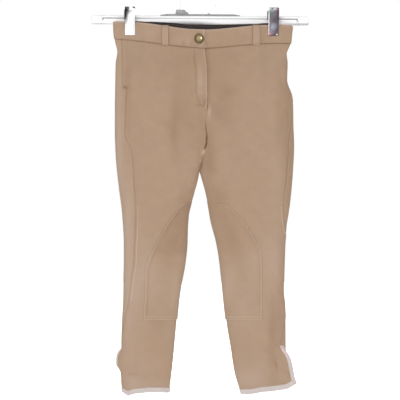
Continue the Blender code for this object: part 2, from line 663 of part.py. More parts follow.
def hanger_cap(side, finish):
    """Rounded end of the bar."""
    outline = rounded(BAR_DEPTH, BAR_HEIGHT, 3.4)
    start, length = BAR_END + CAP_GAP, CAP_END - BAR_END - CAP_GAP
    shares = [(0, 1), (0.55, 1), (0.8, 0.94), (0.93, 0.8), (1, 0.55)]
    rings = [section(outline, side * (start + length * along), BAR_Z, scale)
             for along, scale in shares]
    return loft("hanger_cap_" + SIDE_NAME[side], rings, finish)


def saddle(finish):
    """Flat rib on the bar that carries the hook's boss, its ends sloped down."""
    low = BAR_Z + BAR_HEIGHT / 2 + SEAM_GAP
    rings = []
    level = SADDLE_END - SADDLE_SLOPE
    for x, height in ((-SADDLE_END, SADDLE_TIP), (-level, SADDLE_HEIGHT),
                      (level, SADDLE_HEIGHT), (SADDLE_END, SADDLE_TIP)):
        half = SADDLE_DEPTH / 2
        rings.append([(x, -half, low), (x, half, low), (x, half, low + height),
                      (x, -half, low + height)])
    return loft("hanger_saddle", rings, finish)


def boss(finish):
    """Boss that holds the hook's shank in a blind hole."""
    low = SADDLE_TOP + SEAM_GAP
    bore = HOOK_WIRE / 2 + SEAM_GAP
    flat = BOSS_FLATNESS
    rings = []
    for radius, z, squeeze in ((BOSS_BASE, low, flat), (BOSS_BASE - 0.6, low + 2.5, flat),
                               (BOSS_TOP, BOSS_TOP_Z - 1, flat),
                               (BOSS_TOP - 1, BOSS_TOP_Z, flat),
                               (bore, BOSS_TOP_Z, 1), (bore, low + BORE_FLOOR, 1)):
        rings.append([(SHANK_X + a, squeeze * b, z) for a, b in circle(radius)])
    return loft("hook_boss", rings, finish)


def rivet(finish):
    """Small stud on the rib."""
    low = SADDLE_TOP + SEAM_GAP
    rings = [[(STUD_X + a, b, low + z) for a, b in circle(radius, 12)]
             for radius, z in ((2.2, 0), (2.2, 0.8), (1.2, 1.6))]
    return loft("saddle_stud", rings, finish)


def hook(finish):
    """Wire hook: a straight shank and a crown that ends past its outer side."""
    crown_z = HOOK_WIRE / 2 - HOOK_RADIUS
    foot_z = SADDLE_TOP + SEAM_GAP + BORE_FLOOR + 0.5
    path = [(SHANK_X, 0, foot_z), (SHANK_X, 0, (foot_z + crown_z) / 2)]
    steps = 18
    for step in range(steps + 1):
        turn = math.pi - HOOK_SWEEP * step / steps
        path.append((HOOK_RADIUS * math.cos(turn), 0, crown_z + HOOK_RADIUS * math.sin(turn)))
    rings = []
    for index, point in enumerate(path):
        before, after = path[max(0, index - 1)], path[min(len(path) - 1, index + 1)]
        heading = (Vector(after) - Vector(before)).normalized()
        beside = Vector((0, 1, 0)).cross(heading)
        rings.append([tuple(Vector(point) + beside * a + Vector((0, b, 0)))
                      for a, b in circle(HOOK_WIRE / 2, 12)])
    return loft("hook", rings, finish)


def clip_plate(name, x, table, ear_rows, ear_tip, inset, facing, finish):
    """A clip's pressed plate, with an ear down each side towards the spring."""
    wing = CLIP_WIDTH / 2 - CLIP_SHEET / 2 - inset
    z, y = table["z"], table["y"]
    heading = np.stack([np.gradient(y), np.gradient(z)], axis=1)
    heading /= np.linalg.norm(heading, axis=1)[:, None]
    points, normals = [], []
    for row in range(len(z)):
        ny, nz = facing * heading[row, 1], -facing * heading[row, 0]
        tip = (x - wing, ear_tip, z[row]), (x + wing, ear_tip, z[row])
        plate = [(x + across, y[row], z[row]) for across in (-wing, 0, wing)]
        points.append([tip[0], *plate, tip[1]])
        normals.append([(-1, 0, 0), (-1, ny, nz), (0, ny, nz), (1, ny, nz), (1, 0, 0)])
    kept = np.ones((len(z) - 1, 4), dtype=bool)
    kept[:, 0] = kept[:, -1] = [ear_rows[0] <= row < ear_rows[1] for row in range(len(z) - 1)]
    points, normals = np.array(points, float), np.array(normals, float)
    return wall(name, points, normals, CLIP_SHEET / 2, CLIP_SHEET, finish, kept)


def clip(side, finish):
    """A spring clip: two plates, the spring between them and a slider on the bar."""
    x = CLIP_X[side]
    name = "clip_{}_" + SIDE_NAME[side]
    pieces = [
        clip_plate(name.format("front"), x, CLIP_FRONT, EAR_ROWS, SPRING_Y + EAR_PAST, 0, 1,
                   finish),
        clip_plate(name.format("back"), x, CLIP_BACK, EAR_ROWS, SPRING_Y - EAR_PAST,
                   CLIP_SHEET + SEAM_GAP, -1, finish)]
    reach = CLIP_WIDTH / 2 - 2 * CLIP_SHEET - 2 * SEAM_GAP
    rings = [[(x + across, SPRING_Y + a, SPRING_Z + b) for a, b in circle(SPRING_RADIUS, 16)]
             for across in (-reach, reach)]
    pieces.append(loft(name.format("spring"), rings, finish))
    near = rounded(BAR_DEPTH + 2 * SLIDER_GAP, BAR_HEIGHT + 2 * SLIDER_GAP, 3.4 + SLIDER_GAP)
    far_gap = 2 * (SLIDER_GAP + SLIDER_SHEET)
    far = rounded(BAR_DEPTH + far_gap, BAR_HEIGHT + far_gap, 3.4 + far_gap / 2)
    low, high = x - SLIDER_WIDTH / 2, x + SLIDER_WIDTH / 2
    rings = [section(outline, at, BAR_Z)
             for outline, at in ((near, low), (far, low), (far, high), (near, high))]
    pieces.append(loft(name.format("slider"), rings, finish, closed=True))
    return pieces


# ---------------------------------------------------------------- the whole part

def clear_scene():
    """Empty the file."""
    for thing in list(bpy.data.objects):
        bpy.data.objects.remove(thing, do_unlink=True)


def main():
    """Build every piece."""
    clear_scene()
    twill = material("stretch_twill", (0.46, 0.32, 0.22), 0.9)
    dark = material("dark_lining", (0.015, 0.015, 0.02), 0.9)
    cream = material("cream_binding", (0.78, 0.66, 0.6), 0.85)
    brass = material("brass", (0.5, 0.38, 0.15), 0.35, 1.0)
    white = material("white_plastic", (0.85, 0.86, 0.87), 0.3)
    grey = material("grey_plastic", (0.3, 0.3, 0.31), 0.45)
    chrome = material("chrome", (0.7, 0.7, 0.72), 0.15, 1.0)

    for side in (RIGHT, LEFT):
        panel(side, 0, twill)
        panel(side, 1, twill)
        front_band(side, twill)
        knee_patch(side, twill)
        hem_binding(side, cream)
    back_band(twill)
    band_lining(dark)
    for name, x in FRONT_LOOPS.items():
        belt_loop("belt_loop_front_" + name, x, False, twill)
    for name, x in BACK_LOOPS.items():
        belt_loop("belt_loop_back_" + name, x, True, twill)
    button(brass)

    tilt = bpy.data.objects.new("hanger_tilt", None)
    bpy.context.collection.objects.link(tilt)
    carried = [hanger_bar(white), saddle(white), boss(grey), rivet(grey)]
    for side in (RIGHT, LEFT):
        carried.append(hanger_cap(side, white))
        carried += clip(side, chrome)
    pivot = Vector((0, 0, BAR_Z)) * MM
    tilt.location = pivot
    tilt.rotation_euler.y = HANGER_TILT
    for piece in carried:
        piece.parent = tilt
        piece.location = -pivot
    hook(chrome)


main()
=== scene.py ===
"""Dresses a child's riding breeches and their clip hanger, laid out as an add-on.

The cloth follows the garment's own surface: a place on it is a side of the body, an angle
round the leg or hip and a measure down from the waist.  Tables and functions of shape are
in millimetres; a mesh is in metres.
"""
import math

import bmesh
import bpy
import numpy as np
from bpy.props import FloatProperty, FloatVectorProperty, PointerProperty
from mathutils import Matrix, Vector
from mathutils.bvhtree import BVHTree


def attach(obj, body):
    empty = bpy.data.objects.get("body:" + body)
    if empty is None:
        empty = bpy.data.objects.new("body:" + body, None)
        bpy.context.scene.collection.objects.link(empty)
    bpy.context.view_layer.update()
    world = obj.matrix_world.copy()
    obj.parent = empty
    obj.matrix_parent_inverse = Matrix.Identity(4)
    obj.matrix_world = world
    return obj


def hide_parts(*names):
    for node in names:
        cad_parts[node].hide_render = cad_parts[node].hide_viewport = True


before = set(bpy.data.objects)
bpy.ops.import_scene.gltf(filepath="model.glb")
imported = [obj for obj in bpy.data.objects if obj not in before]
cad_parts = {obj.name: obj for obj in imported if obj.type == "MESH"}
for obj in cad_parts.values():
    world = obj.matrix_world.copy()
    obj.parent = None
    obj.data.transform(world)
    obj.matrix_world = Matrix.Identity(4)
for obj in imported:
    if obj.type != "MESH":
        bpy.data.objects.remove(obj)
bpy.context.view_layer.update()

bl_info = {
    "name": "Riding Breeches on a Clip Hanger",
    "version": (1, 0, 0),
    "blender": (4, 5, 0),
    "location": "View3D > Sidebar > Breeches",
    "description": "Cloth, sewing, button, hanger and clips of a pair of riding breeches",
    "category": "Object",
}

MM = 0.001
RIGHT, LEFT = SIDES = (-1, 1)
SIDE_NAME = {RIGHT: "right", LEFT: "left"}
QUARTER_TURN, FULL_TURN = math.pi / 2, 2 * math.pi


# ---------------------------------------------------------------- sizes of the cloth (mm)

CLOTH_Y, WAIST_TOP_Z, CROTCH = -14.5, -77.5, 271.4
JOINT_GAP = 0.12
BAND_PROUD, BAND_INSIDE = 0.7, 1.5
LINING_RISE, LINING_RIB, LINING_IN, LINING_THICK, LINING_REACH = 0.013, 2.6, 2.0, 1.0, 138.0
BINDING_WIDTH, BINDING_PROUD, BINDING_INSIDE, BINDING_COVER = 9.2, 0.9, 2.3, 2.6
VENT_TOP = {RIGHT: 585.5, LEFT: 582.0}
FLY_END, FLY_LIFT, FLY_WIDTH, FLY_RAMP = 156.0, 2.6, 34.0, 18.0
FLY_LAP, FLY_STITCH, FLY_BEND, FLY_STEP, BAND_LAP = 6.0, 20.0, 44.0, 0.45, 8.0
LOOP_WIDTH, LOOP_OUT, LOOP_THICK, LOOP_BOW = 12.5, 1.0, 1.4, 1.3
LOOP_ABOVE, LOOP_BELOW = 0.5, 2.2
LOOPS = {   # where each belt loop lies across the body, and whether on the back
    "front_right": (-62.5, False), "front_left": (101.0, False),
    "back_right": (-85.0, True), "back_middle": (0.0, True), "back_left": (85.0, True),
}
BUTTON_X, BUTTON_DOWN, BUTTON_RADIUS, BUTTON_HEIGHT = -1.6, 31.6, 9.0, 4.4
PANEL_TOP, PANEL_FADE, HEM_FADE, PANEL_BOTTOM = 40.0, 130.0, 60.0, 651.2
WAIST_LEVEL, HEM_LEVEL = 20.0, 656.0
PATCH_TOP, PATCH_BOTTOM, PATCH_BACK_SHARE, PATCH_ARCH = 323.0, 536.5, 0.88, 18.0
LEG_FULLNESS, HIP_FULLNESS, HIP_TAPER = 6, 14, 0.25
JOIN_LOW, JOIN_HIGH, MIDDLE_SHARE, MIDDLE_RISE = 15.0, 130.0, 1.4, 110.0
CLIP_X = {RIGHT: -126.0, LEFT: 132.7}
PINCH_FRONT, PINCH_BACK, CLIP_FLAT, CLIP_FADE = 1.7, 3.2, 11.5, 20.0
FLARE_REACH, EDGE_TURN, TURN_REACH = 70.0, {RIGHT: 4.2, LEFT: 0.0}, 24.0
TURN_FROM, TURN_TO = 588.0, 642.0


# ---------------------------------------------------------------- tables (mm)

def columns(names, rows):
    """A table as one array for each named column; the first column is its measure."""
    return dict(zip(names.split(), np.array(rows, dtype=float).T))


OUTLINE = {
    RIGHT: columns("down outer ahead", [
        (-3, 156.6, 13), (15, 156.1, 13), (36, 153.2, 12), (54, 149.4, 9.5),
        (74, 152.3, 12.4), (114, 153.2, 13.6), (122, 153.3, 21.4), (150, 153.8, 20.5),
        (204, 153.9, 19), (222, 153.2, 26.2), (236, 152.6, 30.6), (249, 151.9, 31),
        (296, 147, 29), (346, 140.8, 25),
        (402, 137.7, 20), (438, 137.7, 18.5), (456, 138.2, 15.4), (481, 138.6, 12.9),
        (501, 138.9, 10.6), (537, 140.9, 5),
        (584, 142.4, 0.5), (600, 142.2, 0), (615, 142, 0), (628, 141.8, -7),
        (672, 139, -9)]),
    LEFT: columns("down outer ahead", [
        (-3, 168.4, -3), (15, 166.7, -3), (37, 164.2, -3), (58, 156.7, -3),
        (74, 158.4, -3), (105, 157.5, -3), (114, 159.6, -3), (132, 166.4, -2),
        (146, 168.2, 0), (186, 168.8, 4), (222, 170.1, 11), (271, 167.9, 11.5),
        (321, 163.5, 13), (345, 160.2, 9.5), (370, 156.3, 3), (402, 154.4, -3),
        (458, 152.5, -5), (486, 151.8, -5), (512, 154.3, -3), (558, 154.8, 4),
        (582, 155, 9), (620, 156, 9), (672, 156, 9)]),
}
VENT_BACK = {
    RIGHT: columns("down ahead", [(584, 0.5), (600, -6), (620, -12), (672, -16)]),
    LEFT: columns("down ahead", [(582, 9), (600, 2), (620, -3), (672, -6)]),
}
FLARE = {
    RIGHT: columns("down out", [
        (585, 0), (592, 1.1), (598, 2.8), (605, 4.7), (612, 4.9), (617, 5.4), (622, 5.9),
        (627, 4.5), (632, 3.3), (638, 2.4), (644, 2.5), (651, 3), (660, 2.4), (669, 1)]),
    LEFT: columns("down out", [
        (582, 0), (590, 7), (599, 13.4), (608, 17.3), (620, 20), (638, 23.4), (650, 26.8),
        (660, 28.8)]),
}
INSEAM = {
    RIGHT: columns("down inner", [
        (271.4, 1.05), (285, 3.6), (306, 9.3), (328, 15.5), (350, 21.2), (372, 23),
        (400, 23.8), (436, 27.5), (479, 35.3), (501, 38.4), (555, 43.5), (609, 48.3),
        (661, 54.5), (672, 55.9)]),
    LEFT: columns("down inner", [
        (271.4, -0.75), (285, 3.2), (306, 9), (335, 15.2), (364, 21.2), (393, 29.1),
        (422, 34.5), (458, 38.7), (501, 43), (544, 47.9), (587, 54.8), (630, 61.4),
        (652, 67.5), (672, 74.5)]),
}
CENTRE_FRONT = columns("down x", [
    (13.7, 9), (47, 8.6), (70, 11), (95, 13), (140, 13), (155, 12.5), (180, 9.5),
    (200, 11), (215, 11), (232, 8), (250, 4), (262, 1), (271.4, -0.9)])
CENTRE_BACK = columns("down x", [
    (0, 5), (150, 6), (215, 7), (232, 6), (250, 4), (262, 1), (271.4, -0.9)])
DEPTHS = columns("down front back", [
    (-3, 9.5, 8.5), (33, 10, 10), (80, 14, 17), (150, 17, 25), (220, 17, 25),
    (271, 16, 20), (330, 15, 18), (400, 14, 15), (460, 14, 16), (560, 13, 14),
    (672, 11, 11)])
BAND_FRONT = {
    RIGHT: columns("x top seam", [
        (-158, -1.4, 30.8), (-135, -1.1, 31.6), (-108, 0.9, 34.8), (-90, 3.4, 37.5),
        (-63, 7.3, 41.2), (-36, 11.4, 44.3), (-9, 13.9, 47), (13, 14.8, 48.4)]),
    LEFT: columns("x top seam", [
        (0, 14.8, 48.8), (9, 14.5, 48.1), (36, 13, 46.4), (63, 10.4, 43.7), (90, 7.4, 41.3),
        (120, 5, 38.8), (144, 4.4, 38), (169, 6.8, 39.6)]),
}
BACK_BAND = columns("x top seam", [
    (-158, -1.4, 30.6), (-99, -1.4, 31.2), (-63, -0.5, 32.3), (-18, 3.2, 34),
    (27, 3.5, 35.2), (72, 3, 35.8), (117, 2, 36.3), (144, 4, 37.8), (169, 7.2, 40)])
BAND_SPLIT = columns("down ahead", [(0, -6), (60, -6)])
HEM = {
    RIGHT: columns("out down", [
        (57, 668.2), (72, 667), (90, 667), (108, 668.4), (119, 669.8), (125, 671.6),
        (130, 673.3), (135, 671.2), (140, 668)]),
    LEFT: columns("out down", [
        (73.8, 671), (90, 669.6), (108, 666.6), (126, 665), (144, 662.6), (154, 661.2),
        (160, 658.6), (166, 655.8), (173, 652.2)]),
}
PATCH_EDGE = {
    RIGHT: columns("down out", [
        (320, 16), (330, 32.4), (345, 46), (375, 66), (405.5, 82), (432.5, 94.5),
        (447, 98), (483, 99), (536.5, 102)]),
    LEFT: columns("down out", [
        (320, 16), (328, 39.6), (333.5, 51), (344.3, 64.8), (358.7, 78.5),
        (376.7, 90.7), (391, 99), (402, 106), (414.5, 110.2), (430.7, 111.6),
        (536.5, 111.2)]),
}
CLIP_HOLD = columns("down hold", [
    (-3, 0.72), (10, 1), (27, 1), (50, 0.72), (80, 0.3), (110, 0.05), (130, 0)])

# Broad folds, then the finer creases: heights are positive for a ridge and negative for a
# hollow, the lean is from straight down towards +X, and a bow bends a crease's length.
FRONT_FOLDS = columns("x down lean length width height", [
    (-44, 198, 18, 42, 10, -2.4), (-62, 214, 20, 40, 12, 1.6), (7, 208, -4, 42, 7, -2.2),
    (54, 114, 40, 20, 10, -1.4), (33, 159, 25, 18, 9, -1.4), (146, 163, 0, 42, 8, -1.8),
    (-48, 388, -29, 55, 11, -2.2), (58, 368, 26, 75, 14, -2.6), (140, 521, -17, 38, 9, -2.6),
    (-108, 88, 4, 45, 10, 1.4), (-140, 92, -4, 45, 7, -1.2), (114, 90, -4, 45, 10, 1.4),
    (146, 84, 8, 40, 7, -1.4), (-96, 300, 8, 90, 16, -1.6), (104, 270, -6, 80, 15, -1.5),
    (-92, 486, -4, 50, 12, -1.4), (98, 600, 10, 45, 10, -1.5), (-108, 604, -12, 32, 8, -1.6),
    (122, 596, 14, 30, 8, -1.8), (-22, 262, -58, 26, 8, -1.8), (26, 262, 58, 26, 8, -1.8)])
BACK_FOLDS = columns("x down lean length width height", [
    (-60, 236, -40, 46, 12, -3), (62, 238, 40, 46, 12, -3), (-104, 196, -20, 60, 14, -2),
    (108, 190, 18, 60, 14, -2), (-20, 130, 6, 60, 14, -1.6), (34, 120, -8, 55, 13, -1.6),
    (-70, 388, 78, 30, 8, -2.4), (-90, 410, 100, 32, 9, -2.2), (84, 384, 100, 32, 8, -2.4),
    (104, 408, 80, 30, 9, -2.2), (-80, 330, 8, 60, 14, -1.8), (92, 320, -6, 60, 14, -1.8),
    (-72, 556, 6, 50, 12, -1.6), (74, 562, -6, 50, 12, -1.6), (-104, 610, 10, 34, 9, -1.8),
    (116, 608, -12, 34, 9, -1.8)])
FRONT_CREASES = columns("x down lean length width bow height", [
    (3, 118, 2, 40, 4.5, 0, 0.7), (-9, 128, 6, 26, 4, 0, -0.6), (-2, 153, 62, 8, 2.6, 2, 0.6),
    (4, 160, 70, 9, 2.8, 2, -0.7), (2, 226, -24, 16, 3, 3, -0.9), (17, 222, 22, 18, 3.4, -3, 0.7),
    (-16, 240, -52, 22, 3.6, -3, -0.8), (-10, 250, -60, 20, 3, -3, 0.6),
    (24, 246, 50, 20, 3.6, 3, -0.7), (30, 236, 48, 18, 3.2, 2, 0.5),
    (-36, 250, -40, 34, 6, -4, 0.6), (44, 262, 38, 30, 5, 4, 0.5),
    (-30, 302, -30, 22, 3.6, -3, -0.8), (-25, 312, -34, 16, 3, -2, 0.6),
    (40, 322, 40, 18, 4, 2, -0.9), (32, 310, 34, 20, 4, 2, 0.6), (-48, 176, 2, 30, 5, 3, -0.7),
    (-40, 184, 4, 26, 4.5, 3, 0.5), (-58, 158, 78, 14, 4, 2, -0.5), (58, 170, -30, 30, 6, 5, 0.5),
    (88, 150, 20, 34, 7, -6, -0.5), (76, 214, 14, 36, 7, 5, 0.5), (148, 152, 6, 20, 3, 5, -1),
    (152, 160, 8, 22, 3, 4, 0.8), (158, 176, 14, 14, 3, 3, -0.8), (150, 68, -24, 16, 3.4, 2, -0.9),
    (148, 78, -30, 14, 3, 2, 0.7), (152, 118, 30, 16, 3, 2, -0.8), (-146, 60, 20, 14, 3, 2, -0.7),
    (-144, 74, 14, 16, 3, 2, 0.5), (-147, 150, -3, 40, 4, 2, -0.5), (-86, 250, 4, 50, 7, 6, 0.5),
    (-70, 300, -10, 46, 6, 6, -0.5), (-104, 360, 2, 50, 6, -4, 0.5),
    (-88, 374, -24, 40, 5, -6, -0.5), (-60, 420, -14, 30, 6, 4, 0.5),
    (-84, 456, 10, 28, 6, 4, -0.5), (84, 300, 18, 40, 6, 6, -0.5), (120, 320, -4, 50, 6, 4, 0.4),
    (72, 430, 12, 34, 6, 4, -0.5), (94, 470, 8, 30, 5, 3, 0.5), (96, 508, 4, 18, 3.4, 2, -0.7),
    (101, 506, 4, 18, 3, 2, 0.6), (132, 480, -3, 44, 5, 4, -0.6), (128, 540, 4, 40, 5, -4, -0.9),
    (134, 560, 6, 38, 5, -4, 0.6), (146, 484, 62, 12, 3, 2, -0.9), (142, 492, 66, 12, 3, 2, 0.6),
    (112, 566, 12, 40, 6, 5, -0.5), (-118, 470, 3, 46, 5, -4, 0.5),
    (-126, 520, -2, 40, 4, 3, -0.5), (-104, 566, -6, 40, 6, 4, 0.5), (-88, 590, 8, 36, 6, 4, -0.5),
    (-66, 560, -6, 40, 5, 3, 0.4), (-118, 622, -16, 20, 4, 3, 0.6),
    (-126, 634, 74, 10, 2.6, 2, -0.8), (-108, 642, -6, 14, 4, 2, -0.6),
    (142, 632, 20, 14, 3, -6, -0.9), (136, 640, 40, 12, 3, -4, 0.6),
    (112, 640, -8, 18, 5, 3, -0.5), (-30, 84, 12, 30, 7, 4, 0.4), (42, 90, -10, 32, 7, -4, 0.4),
    (70, 70, 70, 20, 5, 3, -0.4), (-70, 66, -74, 22, 5, 3, -0.4), (-112, 130, 3, 50, 6, 4, -0.4),
    (118, 128, -3, 50, 6, 4, -0.4)])
BACK_CREASES = columns("x down lean length width bow height", [
    (-40, 252, -56, 30, 4, -4, -1), (-50, 262, -60, 26, 4, -4, 0.8), (42, 254, 56, 30, 4, 4, -1),
    (52, 264, 60, 26, 4, 4, 0.8), (-24, 238, -50, 22, 3.4, -3, -0.8),
    (26, 238, 52, 22, 3.4, 3, -0.8), (-84, 282, -70, 34, 5, -5, -0.9),
    (88, 284, 70, 34, 5, 5, -0.9), (-74, 296, -64, 26, 4, 4, 0.6), (78, 298, 66, 26, 4, 4, 0.6),
    (-66, 372, 80, 22, 3.6, 3, 0.8), (-78, 400, 94, 24, 4, 3, -0.9),
    (-96, 422, 104, 22, 4, 3, 0.7), (-88, 440, 84, 20, 4, 3, -0.7), (80, 370, 98, 22, 3.6, 3, 0.8),
    (92, 398, 84, 24, 4, 3, -0.9), (110, 420, 76, 22, 4, 3, 0.7), (98, 438, 96, 20, 4, 3, -0.7),
    (-110, 110, -8, 44, 6, 4, -0.6), (-60, 96, 10, 40, 6, 4, -0.5), (60, 92, -8, 40, 6, 4, -0.5),
    (112, 106, 8, 44, 6, 4, -0.6), (-126, 210, -12, 36, 5, 3, 0.6), (130, 206, 10, 36, 5, 3, 0.6),
    (-4, 168, 3, 44, 4, 3, 0.6), (16, 176, -3, 40, 4, 3, -0.6), (-100, 500, 5, 46, 6, 4, -0.6),
    (-70, 500, -4, 44, 5, 4, 0.5), (104, 506, -5, 46, 6, 4, -0.6), (76, 508, 4, 44, 5, 4, 0.5),
    (-116, 560, 4, 40, 5, 4, -0.6), (122, 566, -6, 40, 5, 4, -0.6),
    (-90, 630, -12, 22, 4, 3, -0.7), (96, 628, 10, 22, 4, 3, -0.7), (-66, 630, 6, 20, 4, 3, 0.5),
    (124, 632, 12, 18, 4, 3, 0.5)])
# Darker and lighter places of the cloth: worn knees, a few small stains and paler shins,
# together with painted shade in creases, folds and seams and painted highlights on ridges and
# edges.
FRONT_TONES_AND_SHADE = columns("x down lean length width tone", [
    (-46, 390, -16, 60, 20, -0.36), (54, 386, 16, 50, 18, -0.4), (0, 244, 0, 46, 14, -0.3),
    (-58, 182, 2, 9, 4, -0.3), (54, 123, 30, 14, 12, -0.35), (33, 168, 0, 9, 6, -0.2),
    (-104, 560, 0, 120, 60, 0.15), (118, 590, 0, 110, 60, 0.15), (-100, 440, 0, 60, 14, 0.4),
    (132, 440, 0, 60, 14, 0.5), (-145, 250, 0, 110, 9, 0.4), (140, 250, 0, 80, 18, 0.2),
    (-129, 345, 0, 60, 9, 0.35), (-115, 480, 0, 50, 9, 0.35), (-78, 545, 0, 55, 16, -0.3),
    (-43, 483, 0, 40, 9, 0.35), (46, 480, -14, 46, 11, 0.55), (100, 425, 0, 30, 26, 0.4),
    (144, 530, 0, 60, 8, -0.4), (-122, 650, 0, 18, 16, 0.5), (-85, 655, 90, 40, 10, 0.35),
    (85, 640, 90, 40, 22, 0.55), (-100, 625, 0, 25, 25, 0.2), (17, 240, 2, 56, 11, -0.8),
    (2, 172, 0, 24, 8, -0.35), (-12, 195, 0, 30, 12, -0.25), (26, 336, 10, 26, 14, -0.3),
    (-28, 330, -10, 26, 12, -0.3), (88, 500, 6, 30, 12, -0.2), (-130, 450, 0, 130, 11, 0.8),
    (-147, 180, 0, 150, 7, 0.5), (158, 200, 0, 150, 9, -0.6), (130, 570, 0, 80, 8, -0.6),
    (144, 185, 0, 65, 9, -0.4), (-130, 140, 0, 75, 7, -0.5), (-30, 158, 0, 50, 20, -0.4),
    (38, 150, 10, 45, 20, -0.5), (-43, 175, 0, 70, 9, -0.3), (-22, 318, -30, 22, 10, -0.2),
    (36, 312, 30, 20, 14, -0.5), (-48, 200, 0, 40, 6, -0.3), (-84, 470, 0, 50, 24, 0.35),
    (84, 500, 0, 40, 24, 0.4), (-36, 70, 0, 40, 50, -0.3), (40, 70, 0, 40, 50, -0.3),
    (0, 106, 0, 26, 7, 0.7), (-105, 20, 0, 12, 40, 0.25), (-2, 142, 0, 8, 9, -0.3),
    (0, 152, 84, 8, 1.3, -1.2), (8, 146, 0, 7, 2.4, -1.1), (-30, 33, 0, 8, 14, 0.4),
    (12.4, 30, 0, 14, 1.3, -1.5), (-22, 36, 6, 10, 2, 0.6), (-31, 36, 4, 10, 1.5, -0.5),
    (17, 161, 0, 13, 2.2, 1.3), (10.5, 194, 4, 10, 1.1, -2.2), (11.8, 211, -5, 9, 1.6, -3),
    (9.8, 225, -20, 7, 1.3, -4.5), (6.5, 234, -22, 4.5, 1.8, 4), (3, 256, -12, 14, 2, -1),
    (-135, 118.5, 90, 5, 1.6, -2), (-120, 634, 90, 8, 1.4, -1.4), (137, 618, 12, 10, 1.6, -1.2)])
BACK_TONES_AND_SHADE = columns("x down lean length width tone", [
    (-58, 250, -30, 60, 34, -0.5), (60, 250, 30, 60, 34, -0.5), (-60, 420, -10, 80, 30, -0.5),
    (66, 420, 10, 80, 30, -0.5), (-100, 580, 0, 100, 60, 0.4), (116, 590, 0, 100, 60, 0.4)])


# ---------------------------------------------------------------- the cloth's surface

def ease(t):
    """0 to 1 with level ends."""
    t = np.clip(t, 0.0, 1.0)
    return t * t * (3 - 2 * t)


def curve(table, column, at):
    """A column's value at a measure, on a smooth curve that overshoots no row."""
    marks, values = next(iter(table.values())), table[column]
    steep = np.diff(values) / np.diff(marks)
    before, after = steep[:-1], steep[1:]
    level = before * after <= 0
    inner = np.where(level, 0.0, 2 * before * after / np.where(level, 1.0, before + after))
    slopes = np.concatenate([steep[:1], inner, steep[-1:]])
    at = np.clip(at, marks[0], marks[-1])
    row = np.clip(np.searchsorted(marks, at) - 1, 0, len(marks) - 2)
    span = marks[row + 1] - marks[row]
    t = (at - marks[row]) / span
    rise = (values[row + 1] - values[row]) * ease(t)
    return values[row] + rise + span * t * (1 - t) * (slopes[row] * (1 - t) - slopes[row + 1] * t)


def centre(line, side, down):
    """Distance out to a side's edge of the seam down the middle of the body."""
    return side * curve(line, "x", down) + JOINT_GAP / 2


def lens(side, down):
    """Half width and middle of one side's rounded section, a leg's below the crotch."""
    outer = curve(OUTLINE[side], "outer", down)
    above = np.maximum(0.0, CROTCH - down)
    share = MIDDLE_SHARE * (1 - near_line(above, MIDDLE_RISE))
    leg = (outer - curve(INSEAM[side], "inner", down)) / 2
    hip = (outer - centre(CENTRE_FRONT, side, down)) / (2 - share)
    half = np.where(above > 0, hip, leg)
    return half, outer - half


def hip_swell(x, down):
    """Thickness share of the whole flat body, from one outer fold to the other."""
    left = curve(OUTLINE[LEFT], "outer", down)
    right = -curve(OUTLINE[RIGHT], "outer", down)
    across = (2 * x - left - right) / (left - right)
    fold = np.sqrt(np.maximum(0.0, 1 - np.abs(across) ** HIP_FULLNESS))
    return fold * (1 - HIP_TAPER * across ** 2)


def spots(table, x, down, amount):
    """Sum of soft long spots; with a bow they bend and have sharper middles."""
    total = np.zeros_like(x)
    for row in zip(*table.values()):
        spot = dict(zip(table, row))
        lean = math.radians(spot["lean"])
        along = (x - spot["x"]) * math.sin(lean) + (down - spot["down"]) * math.cos(lean)
        across = (x - spot["x"]) * math.cos(lean) - (down - spot["down"]) * math.sin(lean)
        along = along / spot["length"]
        if "bow" in spot:
            across = (across - spot["bow"] * along ** 2) / spot["width"]
            near = np.exp(-along ** 4) / (1 + across ** 2) ** 2
        else:
            near = np.exp(-along ** 2 - (across / spot["width"]) ** 2)
        total = total + spot[amount] * near
    return total


RIPPLES = columns("along across turn height", [
    (31, 64, 0.4, 0.16), (47, -38, 2.1, 0.16), (23, 71, 4.0, 0.09), (88, 29, 1.2, 0.2),
    (-19, 41, 5.2, 0.07), (61, 17, 3.3, 0.08)])


def ripple(x, down):
    """Slight unevenness that hanging cloth has everywhere."""
    total = np.zeros_like(x)
    for along, across, turn, height in zip(*RIPPLES.values()):
        total = total + height * np.sin(FULL_TURN * (x / across + down / along) + turn)
    return total


def clip_hold(x, down):
    """How firmly a clip presses the cloth, from 0 to 1."""
    hold = np.zeros_like(x)
    for clip_x in CLIP_X.values():
        hold = np.maximum(hold, 1 - ease((np.abs(x - clip_x) - CLIP_FLAT) / CLIP_FADE))
    return hold * curve(CLIP_HOLD, "hold", down)


def ahead_angle(side, down, table):
    """Angle of a line that the table puts in front of the outer fold."""
    half, _ = lens(side, down)
    ahead = curve(table, "ahead", down)
    return QUARTER_TURN - np.sign(ahead) * np.arccos(1 - np.abs(ahead) / half)


def vent_angle(side, down):
    """Angle of the front's side seam, and below it of the front's vent edge."""
    return ahead_angle(side, down, OUTLINE[side])


def vent_edge(side, down, back):
    """Angle of a vent's front or back edge."""
    return ahead_angle(side, down, VENT_BACK[side]) if back else vent_angle(side, down)


def flared(side, angle, down):
    """How far out a front's vent edge flares there, with its binding turned to the front."""
    arc = (vent_angle(side, down) - angle) * lens(side, down)[0]
    shown = EDGE_TURN[side] * ease(1 - arc / TURN_REACH)
    shown = shown * ease((down - TURN_FROM) / 8) * ease((TURN_TO - down) / 16)
    return curve(FLARE[side], "out", down) * ease(1 - arc / FLARE_REACH) + shown


